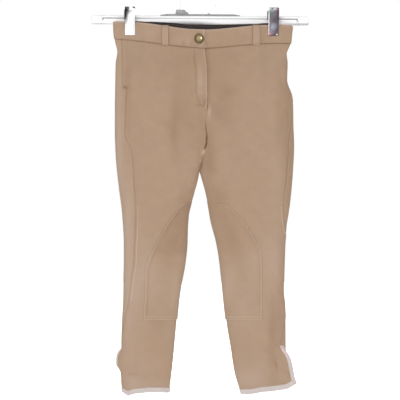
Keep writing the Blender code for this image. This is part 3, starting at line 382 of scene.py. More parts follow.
def place(side, angle, down, flap=0.0, lift=0.0):
    """Points of the cloth's outer face, with its folds and creases.

    flap is 1 on a front, whose vent edge flares; lift raises a lap over its neighbour.
    """
    angle, down = np.broadcast_arrays(np.asarray(angle, float), np.asarray(down, float))
    half, middle = lens(side, down)
    reach, facing = np.sin(angle), np.cos(angle)
    x = side * (middle + half * reach)
    lobe = np.sqrt(np.maximum(0.0, 1 - np.abs(reach) ** LEG_FULLNESS))
    joined = ease((CROTCH - JOIN_LOW - down) / (JOIN_HIGH - JOIN_LOW))
    swell = lobe + (hip_swell(x, down) - lobe) * joined
    front = facing > 0
    depth = np.where(front, curve(DEPTHS, "front", down), curve(DEPTHS, "back", down))
    creased = np.zeros_like(x)
    for shown, broad, fine in ((front, FRONT_FOLDS, FRONT_CREASES),
                               (~front, BACK_FOLDS, BACK_CREASES)):
        if shown.any():
            at, low = x[shown], down[shown]
            fresh = spots(fine, at, low, "height") + ripple(at, low)
            creased[shown] = spots(broad, at, low, "height") + fresh * crease_share()
    bulge = (depth + creased) * swell
    pinch = np.where(front, PINCH_FRONT, PINCH_BACK) * np.tanh(4 * swell)
    bulge = bulge + (pinch - bulge) * clip_hold(x, down)
    y = CLOTH_Y - np.sign(facing) * bulge - lift
    x = x + side * flap * flared(side, angle, down)
    return np.stack([x, y, WAIST_TOP_Z - down], axis=-1)


def crease_share():
    """How deep the finer creases are, of their depth in the tables."""
    return bpy.context.scene.breeches_cloth.creases


def outward(side, angle, down, flap=0.0):
    """Unit normals of the cloth's outer face."""
    turn, step = 0.002, 0.3
    round_way = place(side, angle + turn, down, flap) - place(side, angle - turn, down, flap)
    down_way = place(side, angle, down + step, flap) - place(side, angle, down - step, flap)
    normal = side * np.cross(down_way, round_way)
    return normal / np.linalg.norm(normal, axis=-1, keepdims=True)


def path(side, angle, down, flap=0.0, lift=0.0):
    """Points and normals of a line or grid on the cloth."""
    return place(side, angle, down, flap, lift), outward(side, angle, down, flap)


def speed(side, angle, down, flap=0.0):
    """Millimetres round the cloth for each radian."""
    turn = 0.002
    ahead = place(side, angle + turn, down, flap)
    behind = place(side, angle - turn, down, flap)
    return np.maximum(np.linalg.norm(ahead - behind, axis=-1) / (2 * turn), 1.0)


def shifted(side, angle, down, distance, flap=0.0):
    """The angle a given distance further round the cloth."""
    steps = 4
    for _ in range(steps):
        angle = angle + distance / steps / speed(side, angle, down, flap)
    return angle


def angle_at(side, x, down, back=False):
    """Angle of the place at x on a side's front or back."""
    half, middle = lens(side, down)
    angle = np.arcsin(np.clip((side * x - middle) / half, -1, 1))
    return math.pi - angle if back else angle


def x_at(side, angle, level):
    """Where an angle lies across the body at one level."""
    half, middle = lens(side, np.array(level))
    return side * (middle + half * np.sin(angle))


def band_edges(side, back):
    """The table of the waistband's two edges there."""
    return BACK_BAND if back else BAND_FRONT[side]


def from_fly(x, down):
    """Distance of a place from the fly's edge, towards the wearer's right."""
    return curve(CENTRE_FRONT, "x", down) - x


def fly_lift(x, down):
    """Height of the right front's fly over the left one's."""
    from_edge = from_fly(x, down)
    return FLY_LIFT * ease((FLY_WIDTH - from_edge) / FLY_RAMP) * (1 - ease((down - FLY_END) / 9.0))


def lap_lift(side, back, angle, down):
    """How far the fly raises a place: only the right front laps over its neighbour."""
    if back or side == LEFT:
        return 0.0
    return fly_lift(place(side, angle, down)[..., 0], down)


def true_down(side, back, rows, angle):
    """Rows that follow the waistband's seam at the top and the hem at the bottom."""
    band = curve(band_edges(side, back), "seam", x_at(side, angle, WAIST_LEVEL)) + JOINT_GAP / 2
    level = np.array(HEM_LEVEL)
    flare = 0 if back else flared(side, angle, level) * (angle > -QUARTER_TURN)
    out = side * x_at(side, angle, HEM_LEVEL) + flare
    hem = curve(HEM[side], "down", out) - BINDING_WIDTH
    near_band = 1 - ease((rows - PANEL_TOP) / PANEL_FADE)
    near_hem = ease((rows - PANEL_BOTTOM + HEM_FADE) / HEM_FADE)
    return rows + (band - PANEL_TOP) * near_band + (hem - PANEL_BOTTOM) * near_hem


# ---------------------------------------------------------------- meshes of cloth

EDGE_STEPS = np.array([0, 0.7, 1.5, 2.6, 4.2, 6.4])


def spread(length, step):
    """Marks from 0 to a length, closer together near both ends."""
    middle = np.arange(EDGE_STEPS[-1], length - EDGE_STEPS[-1], step)
    return np.unique(np.concatenate([EDGE_STEPS, middle + step / 2, length - EDGE_STEPS]).round(4))


def round_edge(distance, radius):
    """Height of a turned edge, from 0 at the very edge to 1 past its radius."""
    return np.sqrt(1 - (1 - np.clip(distance / radius, 0, 1)) ** 2)


def runs(points):
    """Lengths along a grid's rows and down its columns, from their starts."""
    across = np.linalg.norm(np.diff(points, axis=1), axis=2).cumsum(axis=1)
    along = np.linalg.norm(np.diff(points, axis=0), axis=2).cumsum(axis=0)
    return np.pad(across, ((0, 0), (1, 0))), np.pad(along, ((1, 0), (0, 0)))


def line_distance(points, line):
    """Distances of a grid's points from a line of points."""
    nearest = np.full(points.shape[:-1], np.inf)
    for start, end in zip(line[:-1], line[1:]):
        way = end - start
        share = np.clip((points - start) @ way / max(way @ way, 1e-9), 0, 1)
        nearest = np.minimum(nearest, np.linalg.norm(points - start - share[..., None] * way,
                                                     axis=-1))
    return nearest


def near_line(distance, width):
    """1 on a line, falling to 0 within about twice a width of it."""
    return np.exp(-(distance / width) ** 2)


def faced(mesh):
    """Turn a closed mesh's faces outwards."""
    shape = bmesh.new()
    shape.from_mesh(mesh)
    bmesh.ops.recalc_face_normals(shape, faces=shape.faces)
    shape.to_mesh(mesh)
    shape.free()


def put(name, data):
    """An object of a mesh, lamp or camera, in the scene."""
    made = bpy.data.objects.new(name, data)
    bpy.context.scene.collection.objects.link(made)
    return made


def shell(name, points, normals, outer, inner, finish, kept=None, worn=None, shade=0.0):
    """A closed cloth wall between two heights over a grid, both measured outwards.

    worn is how rubbed a place is, or how pink on a binding, and shade is painted shade and
    painted highlight added to how light or dark it is.
    """
    rows, across = points.shape[:2]
    kept = np.ones((rows - 1, across - 1), bool) if kept is None else kept
    outer, inner = (np.broadcast_to(height, (rows, across)) for height in (outer, inner))
    layers = [points + normals * height[..., None] for height in (outer, inner)]
    count = rows * across
    corner = np.arange(count).reshape(rows, across)
    ring = np.stack([corner[:-1, :-1], corner[:-1, 1:], corner[1:, 1:], corner[1:, :-1]], -1)
    padded = np.pad(kept, 1)
    faces = [ring[kept], ring[kept][:, ::-1] + count]
    beside = (padded[:-2, 1:-1], padded[1:-1, 2:], padded[2:, 1:-1], padded[1:-1, :-2])
    for index, neighbour in enumerate(beside):
        rim = ring[kept & ~neighbour]
        first, second = rim[:, index], rim[:, (index + 1) % 4]
        faces.append(np.stack([second, first, first + count, second + count], -1))
    faces = np.concatenate(faces)
    used, compact = np.unique(faces, return_inverse=True)
    vertices = np.concatenate([layer.reshape(-1, 3) for layer in layers])[used] * MM
    name = name + "_cloth"
    mesh = bpy.data.meshes.new(name)
    mesh.from_pydata(vertices.tolist(), [], compact.reshape(faces.shape).tolist())
    faced(mesh)
    run, fall = runs(points)
    run = run - run[:, across // 2][:, None]
    flat = np.stack([run, fall], -1).reshape(-1, 2) / 10
    corners = np.zeros(len(mesh.loops), int)
    mesh.loops.foreach_get("vertex_index", corners)
    layer = mesh.uv_layers.new(name="cloth")
    layer.data.foreach_set("uv", np.concatenate([flat, flat])[used][corners].ravel())
    x, down, y = points[..., 0], WAIST_TOP_Z - points[..., 2], points[..., 1]
    # Each point takes the tables' spots, partly painted shade and highlights, plus the painted
    # shade given.
    tone = np.where(y < CLOTH_Y, spots(FRONT_TONES_AND_SHADE, x, down, "tone"),
                    spots(BACK_TONES_AND_SHADE, x, down, "tone")) + shade
    worn = np.zeros_like(tone) if worn is None else worn
    for label, values in (("tone", tone), ("worn", worn)):
        attribute = mesh.attributes.new(label, "FLOAT", "POINT")
        attribute.data.foreach_set("value", np.concatenate([values.ravel()] * 2)[used])
    mesh.shade_smooth()
    mesh.set_sharp_from_angle(angle=math.radians(55))
    mesh.materials.append(finish)
    return put(name, mesh)


def hand_in(piece, slot, *nodes):
    """Let a piece ride with the part and hide the nodes it stands for; slot is not used."""
    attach(piece, "root")
    if nodes:
        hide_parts(*nodes)
    return piece


# ---------------------------------------------------------------- panels

VENT_BINDING = {RIGHT: 5.2, LEFT: 7.4}


def binding_width(side, down):
    """Width of the binding at a vent's edge: narrow at its top, full at the hem."""
    vent = VENT_BINDING[side] * (0.5 + 0.5 * ease((down - VENT_TOP[side]) / 10))
    return vent + (BINDING_WIDTH - vent) * ease((down - PANEL_BOTTOM + 14) / 16)


def inner_angle(side, down, back, lap=0.0):
    """Angle of a panel's inner edge: the middle seam, and the inseam below the crotch."""
    line = CENTRE_BACK if back else CENTRE_FRONT
    at = side * (centre(line, side, down) - lap)
    fold = -QUARTER_TURN + back * FULL_TURN
    inseam = shifted(side, np.full_like(down, fold), down, JOINT_GAP / 2 * (1 - 2 * back))
    return np.where(down < CROTCH - 0.01, angle_at(side, at, down, back), inseam)


def outer_angle(side, down, back):
    """Angle of a panel's outer edge: the side seam, and below it just under the binding."""
    toward_panel = 2 * back - 1
    seam = shifted(side, vent_angle(side, down), down, toward_panel * JOINT_GAP / 2)
    inset = toward_panel * (binding_width(side, down) - BINDING_COVER)
    vent = shifted(side, vent_edge(side, down, back), down, inset, flap=1.0 - back)
    return np.where(down > VENT_TOP[side] + 0.1, vent, seam)


def panel_grid(side, back):
    """Angles and measures of a panel's points, from its inner edge to its outer one."""
    vent = VENT_TOP[side]
    usual_width, column_step, row_step = 150.0, 2.3, 2.4
    upper = PANEL_TOP + spread(vent - PANEL_TOP, row_step)
    lower = np.arange(vent + 0.4, PANEL_BOTTOM + BINDING_COVER, row_step)
    rows = np.concatenate([upper, lower, [PANEL_BOTTOM + BINDING_COVER]])[:, None]
    share = spread(usual_width, column_step)[None, :] / usual_width
    down = rows + 0 * share
    for _ in range(3):
        lap = 0.0
        if side == LEFT and not back:
            lap = FLY_LAP * (1 - ease((down[:, 0] - FLY_END + 12) / 6.0))
        start = inner_angle(side, down[:, 0], back, lap)
        end = outer_angle(side, down[:, -1], back)
        angle = start[:, None] + (end - start)[:, None] * share
        down = true_down(side, back, rows, angle)
    return angle, down


def fly_raise(x, down):
    """Slight step where the fly's facing lies under the right front, out to its stitching."""
    return FLY_STEP * ease((fly_reach(down) - from_fly(x, down)) / 1.6) * (down < FLY_END)


def fly_reach(down):
    """How far the fly's stitching lies from its edge: straight, then curved back to it."""
    low = np.clip((down - (FLY_END - FLY_BEND)) / FLY_BEND, 0, 1)
    return FLY_STITCH * np.sqrt(np.maximum(1 - low ** 2.4, 0.0))


def panel(side, back, finish):
    """A front or back, from the waistband to under the binding."""
    angle, down = panel_grid(side, back)
    right_front, flap = side == RIGHT and not back, 1.0 - back
    lift = lap_lift(side, back, angle, down)
    points, normals = path(side, angle, down, flap, lift)
    run, fall = runs(points)
    sizes = bpy.context.scene.breeches_cloth
    roll, near = sizes.seam_roll / MM, 1.5
    ends, seamed = run[:, -1:] - run, down < VENT_TOP[side]
    met = np.where(down < CROTCH, ease((CROTCH - 20 - down) / 60), 1.0)
    outer = -roll * (met * near_line(run, near) + near_line(fall, near)
                     + near_line(ends, near) * seamed)
    worn = 0.8 * near_line(run - 2.2, 1.6) + 0.5 * near_line(ends - 2.4, 1.6)
    if right_front:
        outer = outer + fly_raise(points[..., 0], down)
    if not back:
        outer = outer + tab_raise(side, angle, down)
        seam_rib = ease((SEAM_RIB_WIDTH - ends) / 1.5) * seamed * (down > SEAM_RIB_FROM)
        outer = outer + SEAM_RIB_HEIGHT * seam_rib
    # Painted shade along the waist seam and the side seam; on the fronts a painted highlight on
    # the fly's edge, painted shade beside its stitching, and on the left front painted shade
    # beside the fly.
    shade = -1.6 * near_line(fall, 1.2) - 0.4 * near_line(ends, 1.1) * seamed
    if not back:
        on_fly, from_edge = down < FLY_END, from_fly(points[..., 0], down)
        if right_front:
            shade = shade + 1.1 * near_line(run - 1.2, 1.2) * on_fly
            shade = shade - 0.8 * near_line(from_edge - fly_reach(down) - 0.6, 1.3) * on_fly
        else:
            shade = shade - 0.6 * near_line(from_edge + 3, 4.0) * on_fly
    name = ("back_" if back else "front_") + SIDE_NAME[side]
    thick = sizes.thickness / MM
    piece = shell(name, points, normals, outer, -thick, finish, worn=worn, shade=shade)
    return hand_in(piece, "breeches_fabric", name)


SEAM_RIB_FROM, SEAM_RIB_WIDTH, SEAM_RIB_HEIGHT = 224.0, 7.4, 0.35
LIGHT_FROM, LIGHT_TO = 330.0, 505.0
LIGHT_COARSE = 1.08       # the light thread's stitches against the others
TABS = {   # a closing tab's patch behind each front's lower corner
    RIGHT: dict(out=133.0, down=641.5, wide=9.0, high=12.5, round=4.0),
    LEFT: dict(out=149.0, down=640.0, wide=12.0, high=12.0, round=8.0),
}
TAB_HEIGHT = 0.4


def tab_outline(side, inset):
    """Points (distance out, down) inside the edge of a closing tab's patch."""
    tab = TABS[side]
    turns = np.linspace(0, FULL_TURN, 61)
    corner = tab["round"] - inset
    wide, high = tab["wide"] - inset - corner, tab["high"] - inset - corner
    out = tab["out"] + corner * np.cos(turns) + wide * np.sign(np.round(np.cos(turns), 6))
    down = tab["down"] + corner * np.sin(turns) + high * np.sign(np.round(np.sin(turns), 6))
    return out, down


def tab_raise(side, angle, down):
    """Height of a closing tab's patch through the cloth."""
    tab = TABS[side]
    points = place(side, angle, down, 1.0)
    wide = np.abs(side * points[..., 0] - tab["out"]) - tab["wide"] + tab["round"]
    high = np.abs(down - tab["down"]) - tab["high"] + tab["round"]
    outside = np.hypot(np.maximum(wide, 0), np.maximum(high, 0)) - tab["round"]
    return TAB_HEIGHT * ease(-outside / 1.5)


# ---------------------------------------------------------------- waistband and lining

def band_grid(side, back, shares, lap=0.0):
    """Angles and measures of one side's half of the waistband, from the middle out."""
    usual_length, column_step = 165.0, 2.3
    line = CENTRE_BACK if back else CENTRE_FRONT
    down = np.array([WAIST_LEVEL])
    start = angle_at(side, side * (centre(line, side, down) - lap), down, back)
    split = ahead_angle(side, down, BAND_SPLIT)
    split = shifted(side, split, down, (2 * back - 1) * JOINT_GAP / 2)
    along = spread(usual_length, column_step) / usual_length
    angle = start + (split - start) * along[None, :]
    table, x = band_edges(side, back), x_at(side, angle, WAIST_LEVEL)
    top = curve(table, "top", x)
    measure = top + (curve(table, "seam", x) - JOINT_GAP / 2 - top) * shares[:, None]
    return angle + 0 * measure, measure


def band_shares():
    """Shares of the waistband's height at which its rows lie."""
    usual_height, row_step = 33.0, 2.2
    return spread(usual_height, row_step) / usual_height


def band_puckers(points):
    """Small gathers along the waistband, deepest near its seam."""
    x, down = points[..., 0], WAIST_TOP_Z - points[..., 2]
    waves = (0.13 * np.sin(x / 2.3 + 0.8 * np.sin(x / 9)) + 0.11 * np.sin(x / 3.7 + down / 9 + 2)
             + 0.12 * np.sin(x / 6.1 - down / 7))
    gathered = 1 + 1.6 * near_line(x + 24, 26)
    return waves * gathered * (0.4 + 0.6 * ease((down - 12) / 24))


def band_heights(points, free_start):
    """Outer and inner heights of the waistband's folded strip, and how worn its edges are."""
    core, fold, rounding = -0.4, 1.4, 0.9
    run, fall = runs(points)
    free = np.minimum(fall, run) if free_start else fall
    turned = round_edge(free, fold)
    outer = core + (BAND_PROUD - core) * turned + band_puckers(points) * turned
    inner = core - (BAND_INSIDE + core) * turned
    from_seam = fall[-1:] - fall
    roll = 0.75 * near_line(from_seam, rounding)
    ends = 0.6 * (near_line(run[:, -1:] - run, rounding)
                  + near_line(run, rounding) * (not free_start))
    sewn_in = 0.16 * (near_line(fall - 2.0, 0.8) + near_line(from_seam - 2.0, 0.8))
    worn = near_line(free - 0.8, 1.5) * 1.3 + 0.4 * near_line(from_seam - 1.6, 1.2)
    # Painted shade along the seam and a painted highlight along the folded free edge.
    shade = -1.2 * near_line(from_seam, 1.0) + 1.3 * near_line(free - 1, 1.8)
    return outer - roll - ends - sewn_in, inner, worn, shade


def front_band(side, finish):
    """Front half of the waistband, the right one lapping over the left."""
    angle, down = band_grid(side, False, band_shares(), BAND_LAP if side == LEFT else 0.0)
    lift = lap_lift(side, False, angle, down)
    points, normals = path(side, angle, down, lift=lift)
    outer, inner, worn, shade = band_heights(points, free_start=True)
    name = "waistband_front_" + SIDE_NAME[side]
    piece = shell(name, points, normals, outer, inner, finish, worn=worn, shade=shade)
    return hand_in(piece, "breeches_fabric", name)


def back_band_points(shares):
    """Points and normals of the whole back of the waistband, from right to left."""
    points, normals = [], []
    for side, order, first in ((RIGHT, -1, 0), (LEFT, 1, 1)):
        angle, down = band_grid(side, True, shares)
        points.append(place(side, angle, down)[:, first:][:, ::order])
        normals.append(outward(side, angle, down)[:, first:][:, ::order])
    return np.concatenate(points, axis=1), np.concatenate(normals, axis=1)


def back_band(finish):
    """Back half of the waistband, in one length."""
    points, normals = back_band_points(band_shares())
    outer, inner, worn, shade = band_heights(points, free_start=False)
    piece = shell("waistband_back", points, normals, outer, inner, finish, worn=worn,
                  shade=shade)
    return hand_in(piece, "breeches_fabric", "waistband_back")


def band_lining(finish):
    """The dark ribbed lining that shows inside the back of the waistband."""
    shares = band_shares()
    shares[0] = -LINING_RISE
    points, normals = back_band_points(shares)
    reached = np.abs(points[0, :, 0]) < LINING_REACH
    points, normals = points[:, reached], normals[:, reached]
    fall = runs(points)[1]
    turned = round_edge(fall, 1.0)
    ribs = 0.14 * np.cos(FULL_TURN * fall / LINING_RIB)
    piece = shell("waistband_lining", points, normals, -LINING_IN - 0.4 + 0.4 * turned,
                  -LINING_IN - LINING_THICK * turned - ribs * turned, finish)
    return hand_in(piece, "lining_fabric", "waistband_lining")


# ---------------------------------------------------------------- patches, bindings, loops

# Painted shade in each patch's inner row and over its upper part, a share for each side.
PATCH_CREASE_SHADE, PATCH_UPPER_SHADE = {RIGHT: 0.6, LEFT: 0.15}, {RIGHT: 0.38, LEFT: 0.14}
BINDING_TURN, LOOP_LENGTH, LOOP_TACK = 2.0, 42, 8.5
LOOP_COLUMNS = np.array([0, 0.4, 0.9, 1.7, 3, 4.6, 6.25, 7.9, 9.5, 10.8, 11.6, 12.1, 12.5])


def patch_edges(side, down):
    """Angles of the knee patch's front and back edges."""
    edge = curve(PATCH_EDGE[side], "out", down)
    inner = curve(INSEAM[side], "inner", down)
    back_edge = inner + (edge - inner) * PATCH_BACK_SHARE
    back_angle = angle_at(side, side * back_edge, down, back=True) - FULL_TURN
    return angle_at(side, side * edge, down), back_angle


def knee_patch(side, finish):
    """Inner-knee patch, laid on the panels and wrapped round the inseam."""
    usual_width, column_step, row_step = 130.0, 2.0, 2.4
    height = PATCH_BOTTOM - PATCH_TOP
    arch = np.linspace(0, 1, 16) ** 1.8 * PATCH_ARCH
    below = PATCH_ARCH + spread(height - PATCH_ARCH, row_step)[4:]
    rows = np.unique(np.concatenate([arch, below]).round(3))
    down = PATCH_TOP + rows[:, None]
    front, back = patch_edges(side, down)
    share = spread(usual_width, column_step)[None, :] / usual_width
    angle = front + (back - front) * share
    down = down + 0 * angle
    points, normals = path(side, angle, down)
    rim = np.concatenate([points[::-1, 0], points[0], points[:, -1], points[-1, ::-1],
                          points[-1:, 0]])
    inside = line_distance(points, rim)
    sizes = bpy.context.scene.breeches_cloth
    edge = 0.3
    rise = edge + (sizes.patch_rise / MM - edge) * (0.1 + 0.9 * ease((down - PATCH_TOP) / 40))
    outer = edge + (rise - edge) * round_edge(inside, 1.5)
    for row in sizes.patch_rows:
        outer = outer - 0.28 * near_line(inside - row / MM, 0.75)
    worn = near_line(inside - 0.6, 1.2)
    name = "knee_patch_" + SIDE_NAME[side]
    out = np.abs(points[..., 0])
    # Painted shade along the patch's edge away from the inseam, in its inner row and over its
    # upper part.
    shade = -1.3 * near_line(inside, 1.0) * ease((out - 26) / 12)
    crease_shade = PATCH_CREASE_SHADE[side] * near_line(inside - sizes.patch_rows[1] / MM, 0.7)
    shade = shade - crease_shade - PATCH_UPPER_SHADE[side] * ease((426 - down) / 14)
    piece = shell(name, points, normals, outer, 0.04, finish, worn=worn, shade=shade)
    return hand_in(piece, "breeches_fabric", name)


def hem_binding(side, finish):
    """Binding folded round a leg's hem and both edges of its vent."""
    row_step, middle_count = 2.2, 96
    steps = np.array([0, 0.5, 1.1, 2.0, 3.4, 5.0, 6.4, 7.4, 8.0, 8.5]) / 8.5
    top = VENT_TOP[side] + 0.5
    upper = np.arange(top, PANEL_BOTTOM - 1.0, row_step)
    rows = np.concatenate([upper, PANEL_BOTTOM + BINDING_WIDTH * steps])[:, None]
    down = rows + np.zeros((1, middle_count + 2 * len(steps) - 2))
    for _ in range(3):
        front_edge = vent_edge(side, down[:, 0], False)
        back_edge = vent_edge(side, down[:, -1], True)
        front_strip = shifted(side, front_edge, down[:, 0],
                              -binding_width(side, down[:, 0]), flap=1.0)
        back_strip = shifted(side, back_edge, down[:, -1], binding_width(side, down[:, -1]))
        front = front_edge[:, None] + (front_strip - front_edge)[:, None] * steps
        back = back_edge[:, None] + (back_strip - back_edge)[:, None] * steps
        back = back[:, ::-1] - FULL_TURN
        middle = np.linspace(front[:, -1], back[:, 0], middle_count).T
        angle = np.concatenate([front[:, :-1], middle, back[:, 1:]], axis=1)
        flap = (angle > -QUARTER_TURN) * 1.0
        down = true_down(side, False, rows, angle)
    strip = len(steps) - 1
    kept = np.zeros((len(rows) - 1, angle.shape[1] - 1), dtype=bool)
    kept[-strip:] = kept[:, :strip] = kept[:, -strip:] = True
    points, normals = path(side, angle, down, flap)
    run, fall = runs(points)
    beside = np.minimum(run, run[:, -1:] - run)
    below = fall[-1:] - fall
    free = np.minimum(np.minimum(beside, below), fall + 0.4)
    lap = binding_width(side, down) - 0.2
    inside = np.hypot(np.maximum(lap - beside, 0), np.maximum(lap - below, 0))
    inside = np.where(beside < lap, np.where(below < lap, inside, lap - beside), lap - below)
    core = -0.6
    turned, hem_edge = round_edge(free, 1.5), round_edge(np.maximum(inside, 0), 0.8)
    along = points[..., 0] + points[..., 2]
    puckers = 0.14 * np.sin(along / 0.95) + 0.12 * np.sin(along / 2.3 + 1)
    groove = 0.3 * near_line(inside - 1.7, 0.7)
    body = (BINDING_PROUD - 0.15 - core) * turned * (0.6 + 0.4 * hem_edge)
    outer = core + body + 0.15 * hem_edge
    outer = outer + (puckers - groove) * turned
    inner = core - (BINDING_INSIDE + core) * turned
    name = "hem_binding_" + SIDE_NAME[side]
    worn = ease((VENT_TOP[side] + 22 - down) / 14) * flap
    piece = shell(name, points, normals, outer, inner, finish, kept, worn)
    return hand_in(piece, "binding_fabric", name)


def belt_loop(label, x, back, finish):
    """A belt loop over the waistband, its ends turned in and bowed out between them."""
    side = RIGHT if x < 0 else LEFT
    table = band_edges(side, back)
    top = curve(table, "top", np.array(x)) - LOOP_ABOVE
    bottom = curve(table, "seam", np.array(x)) + LOOP_BELOW
    height = bottom - top
    share = (spread(float(height), 1.6) / height)[:, None]
    across = x + (LOOP_COLUMNS - LOOP_WIDTH / 2)[None, :]
    down = top + height * share + 0 * across
    angle = angle_at(side, across, down, back)
    normals = outward(side, angle, down)
    bow = LOOP_BOW * np.maximum(np.sin(math.pi * share), 0) ** 0.7
    points = place(side, angle, down) + normals * bow[..., None]
    run, fall = runs(points)
    beside = np.minimum(run, run[:, -1:] - run)
    ends = np.minimum(fall, fall[-1:] - fall)
    core = LOOP_OUT + 0.5
    turned = round_edge(beside, 0.9) * round_edge(ends + 0.2, 1.4)
    crown = 0.25 * ease(beside / 4) - 0.2 * near_line(beside - 2.4, 0.6)
    # The loop is made lighter all over, with painted shade along both its sides.
    piece = shell("belt_loop_" + label, points, normals,
                  core + (LOOP_OUT + LOOP_THICK - core + crown) * turned,
                  core - (core - LOOP_OUT + 0.1) * turned, finish,
                  worn=0.9 * near_line(beside - 1.2, 0.9),
                  shade=0.35 - 2.0 * near_line(beside, 0.7))
    return hand_in(piece, "breeches_fabric", "belt_loop_" + label)


# ---------------------------------------------------------------- sewing

BAND_ROWS, SEAT_ROWS = (0.055, 0.94), (1.6, 6.4)   # shares of its height; mm from the seam
FLY_EDGE_ROW, BINDING_ROW, HEM_ROW, TAB_ROW = 1.8, 1.7, 1.9, 1.2
TACK_HALF, TACK_SLANT, TACK_PITCH = 0.9, 0.25, 0.55


def cloth_tree(*names):
    """What stitches are laid on: the outer cloth of one or more pieces."""
    shape = bmesh.new()
    for name in names:
        shape.from_mesh(bpy.data.objects[name + "_cloth"].data)
    tree = BVHTree.FromBMesh(shape)
    shape.free()
    return tree


def laid(tree, points, normals):
    """Points moved along their normals onto the cloth."""
    reach, result = 7.0, []
    for point, normal in zip(points, normals):
        start = Vector((point + normal * reach) * MM)
        hit = tree.ray_cast(start, Vector(-normal), 2 * reach * MM)[0]
        result.append(point if hit is None else np.array(hit) / MM)
    return np.array(result)


def sewn(name, tree, paths, finish, slot="breeches_fabric", coarse=1.0):
    """Rows of stitches along paths (points, normals): a thin bent bar for each stitch."""
    name = "stitches_" + name
    sizes = bpy.context.scene.breeches_sewing
    length, gap, thick = (size * coarse / MM for size in (sizes.stitch, sizes.gap, sizes.thread))
    stations = np.array([0, 0.14, 0.5, 0.86, 1.0])
    sunk = np.array([-0.5, 0.45, 0.6, 0.45, -0.5]) * thick / 2
    girth = np.array([0.45, 0.95, 1.0, 0.95, 0.45]) * thick / 2
    sides = 6
    turns = np.arange(sides) * FULL_TURN / sides
    vertices, faces, start = [], [], 0
    for points, normals in paths:
        run = np.concatenate([[0], np.linalg.norm(np.diff(points, axis=0), axis=1).cumsum()])
        count = max(1, int(run[-1] / (length + gap)))
        first = (np.arange(count) + 0.5) * run[-1] / count - min(length, run[-1]) / 2
        at = (first[:, None] + stations * min(length, run[-1])).ravel()
        where = np.stack([np.interp(at, run, points[:, axis]) for axis in range(3)], -1)
        facing = np.stack([np.interp(at, run, normals[:, axis]) for axis in range(3)], -1)
        facing /= np.linalg.norm(facing, axis=1)[:, None]
        where = laid(tree, where, facing).reshape(count, len(stations), 3)
        facing = facing.reshape(where.shape)
        heading = where[:, -1:] - where[:, :1]
        heading = heading / np.maximum(np.linalg.norm(heading, axis=2, keepdims=True), 1e-6)
        beside = np.cross(facing, heading + 0 * facing)
        beside /= np.linalg.norm(beside, axis=2, keepdims=True)
        where = where + facing * sunk[:, None]
        rings = (where[:, :, None] + girth[:, None, None] * (
            beside[:, :, None] * np.cos(turns)[:, None]
            + facing[:, :, None] * np.sin(turns)[:, None]))
        vertices.append(rings.reshape(-1, 3))
        stitch = np.arange(count)[:, None, None] * len(stations) * sides + start
        ring = stitch + np.arange(len(stations) - 1)[:, None] * sides
        side, after = np.arange(sides), (np.arange(sides) + 1) % sides
        further = ring + sides
        quads = np.stack([ring + side, ring + after, further + after, further + side], -1)
        faces += quads.reshape(-1, 4).tolist()
        for end, order in ((0, -1), ((len(stations) - 1) * sides, 1)):
            caps = np.arange(count)[:, None] * len(stations) * sides + start + end
            faces += (caps + np.arange(sides)[::order]).tolist()
        start += count * len(stations) * sides
    mesh = bpy.data.meshes.new(name)
    mesh.from_pydata((np.concatenate(vertices) * MM).tolist(), [], faces)
    faced(mesh)
    mesh.shade_smooth()
    mesh.materials.append(finish)
    return hand_in(put(name, mesh), slot)


def offset_path(side, angle, down, inset):
    """A line moved to its right hand by a distance measured on the cloth."""
    pace = speed(side, angle, down)
    turn_way, down_way = np.gradient(angle) * pace, np.gradient(down)
    size = np.hypot(turn_way, down_way)
    return path(side, angle + inset * down_way / size / pace, down - inset * turn_way / size)


def steps_between(start, end, step=1.5):
    """Even marks from one measure to another."""
    return np.linspace(start, end, max(2, int(abs(end - start) / step)))


def outseam_row(side, inset, start, end):
    """A row beside a side seam, on the front."""
    down = steps_between(start, end)
    return path(side, shifted(side, vent_angle(side, down), down, -inset / MM), down)


def patch_row(side, inset, start):
    """A row round a knee patch, at a distance inside the patch's edge."""
    found = []
    inset = inset / MM
    for edge in (0, 1):
        down = steps_between(start, PATCH_BOTTOM - inset)
        angle = patch_edges(side, down)[edge]
        found.append(offset_path(side, angle, down, inset * (-1, 1)[edge]))
    low = np.array([PATCH_BOTTOM - inset])
    front, back = patch_edges(side, low)
    first = shifted(side, front, low, -inset)
    last = shifted(side, back, low, inset)
    angle = np.linspace(first, last, 90)[:, 0]
    found.append(path(side, angle, low + 0 * angle))
    return found


def fly_rows():
    """The fly's curved row, and the row along its edge."""
    down = steps_between(50, FLY_END - 0.4, 0.8)
    edge = curve(CENTRE_FRONT, "x", down)
    found = []
    for x in (edge - fly_reach(down), edge - FLY_EDGE_ROW):
        angle = angle_at(RIGHT, x, down)
        found.append(path(RIGHT, angle, down, lift=fly_lift(x, down)))
    return found


def band_rows(side, back):
    """Rows near the waistband's top edge and seam."""
    found = []
    for share in BAND_ROWS:
        angle, down = band_grid(side, back, np.array([share, share]))
        points, normals = path(side, angle, down, lift=lap_lift(side, back, angle, down))
        found.append((points[0, 3:-3], normals[0, 3:-3]))
    return found


def seat_rows():
    """Rows beside the seam down the middle of the backs."""
    down = steps_between(44, CROTCH - 12)
    found = []
    for inset in SEAT_ROWS:
        x = curve(CENTRE_BACK, "x", down) + inset
        found.append(path(LEFT, angle_at(LEFT, x, down, back=True), down))
    return found


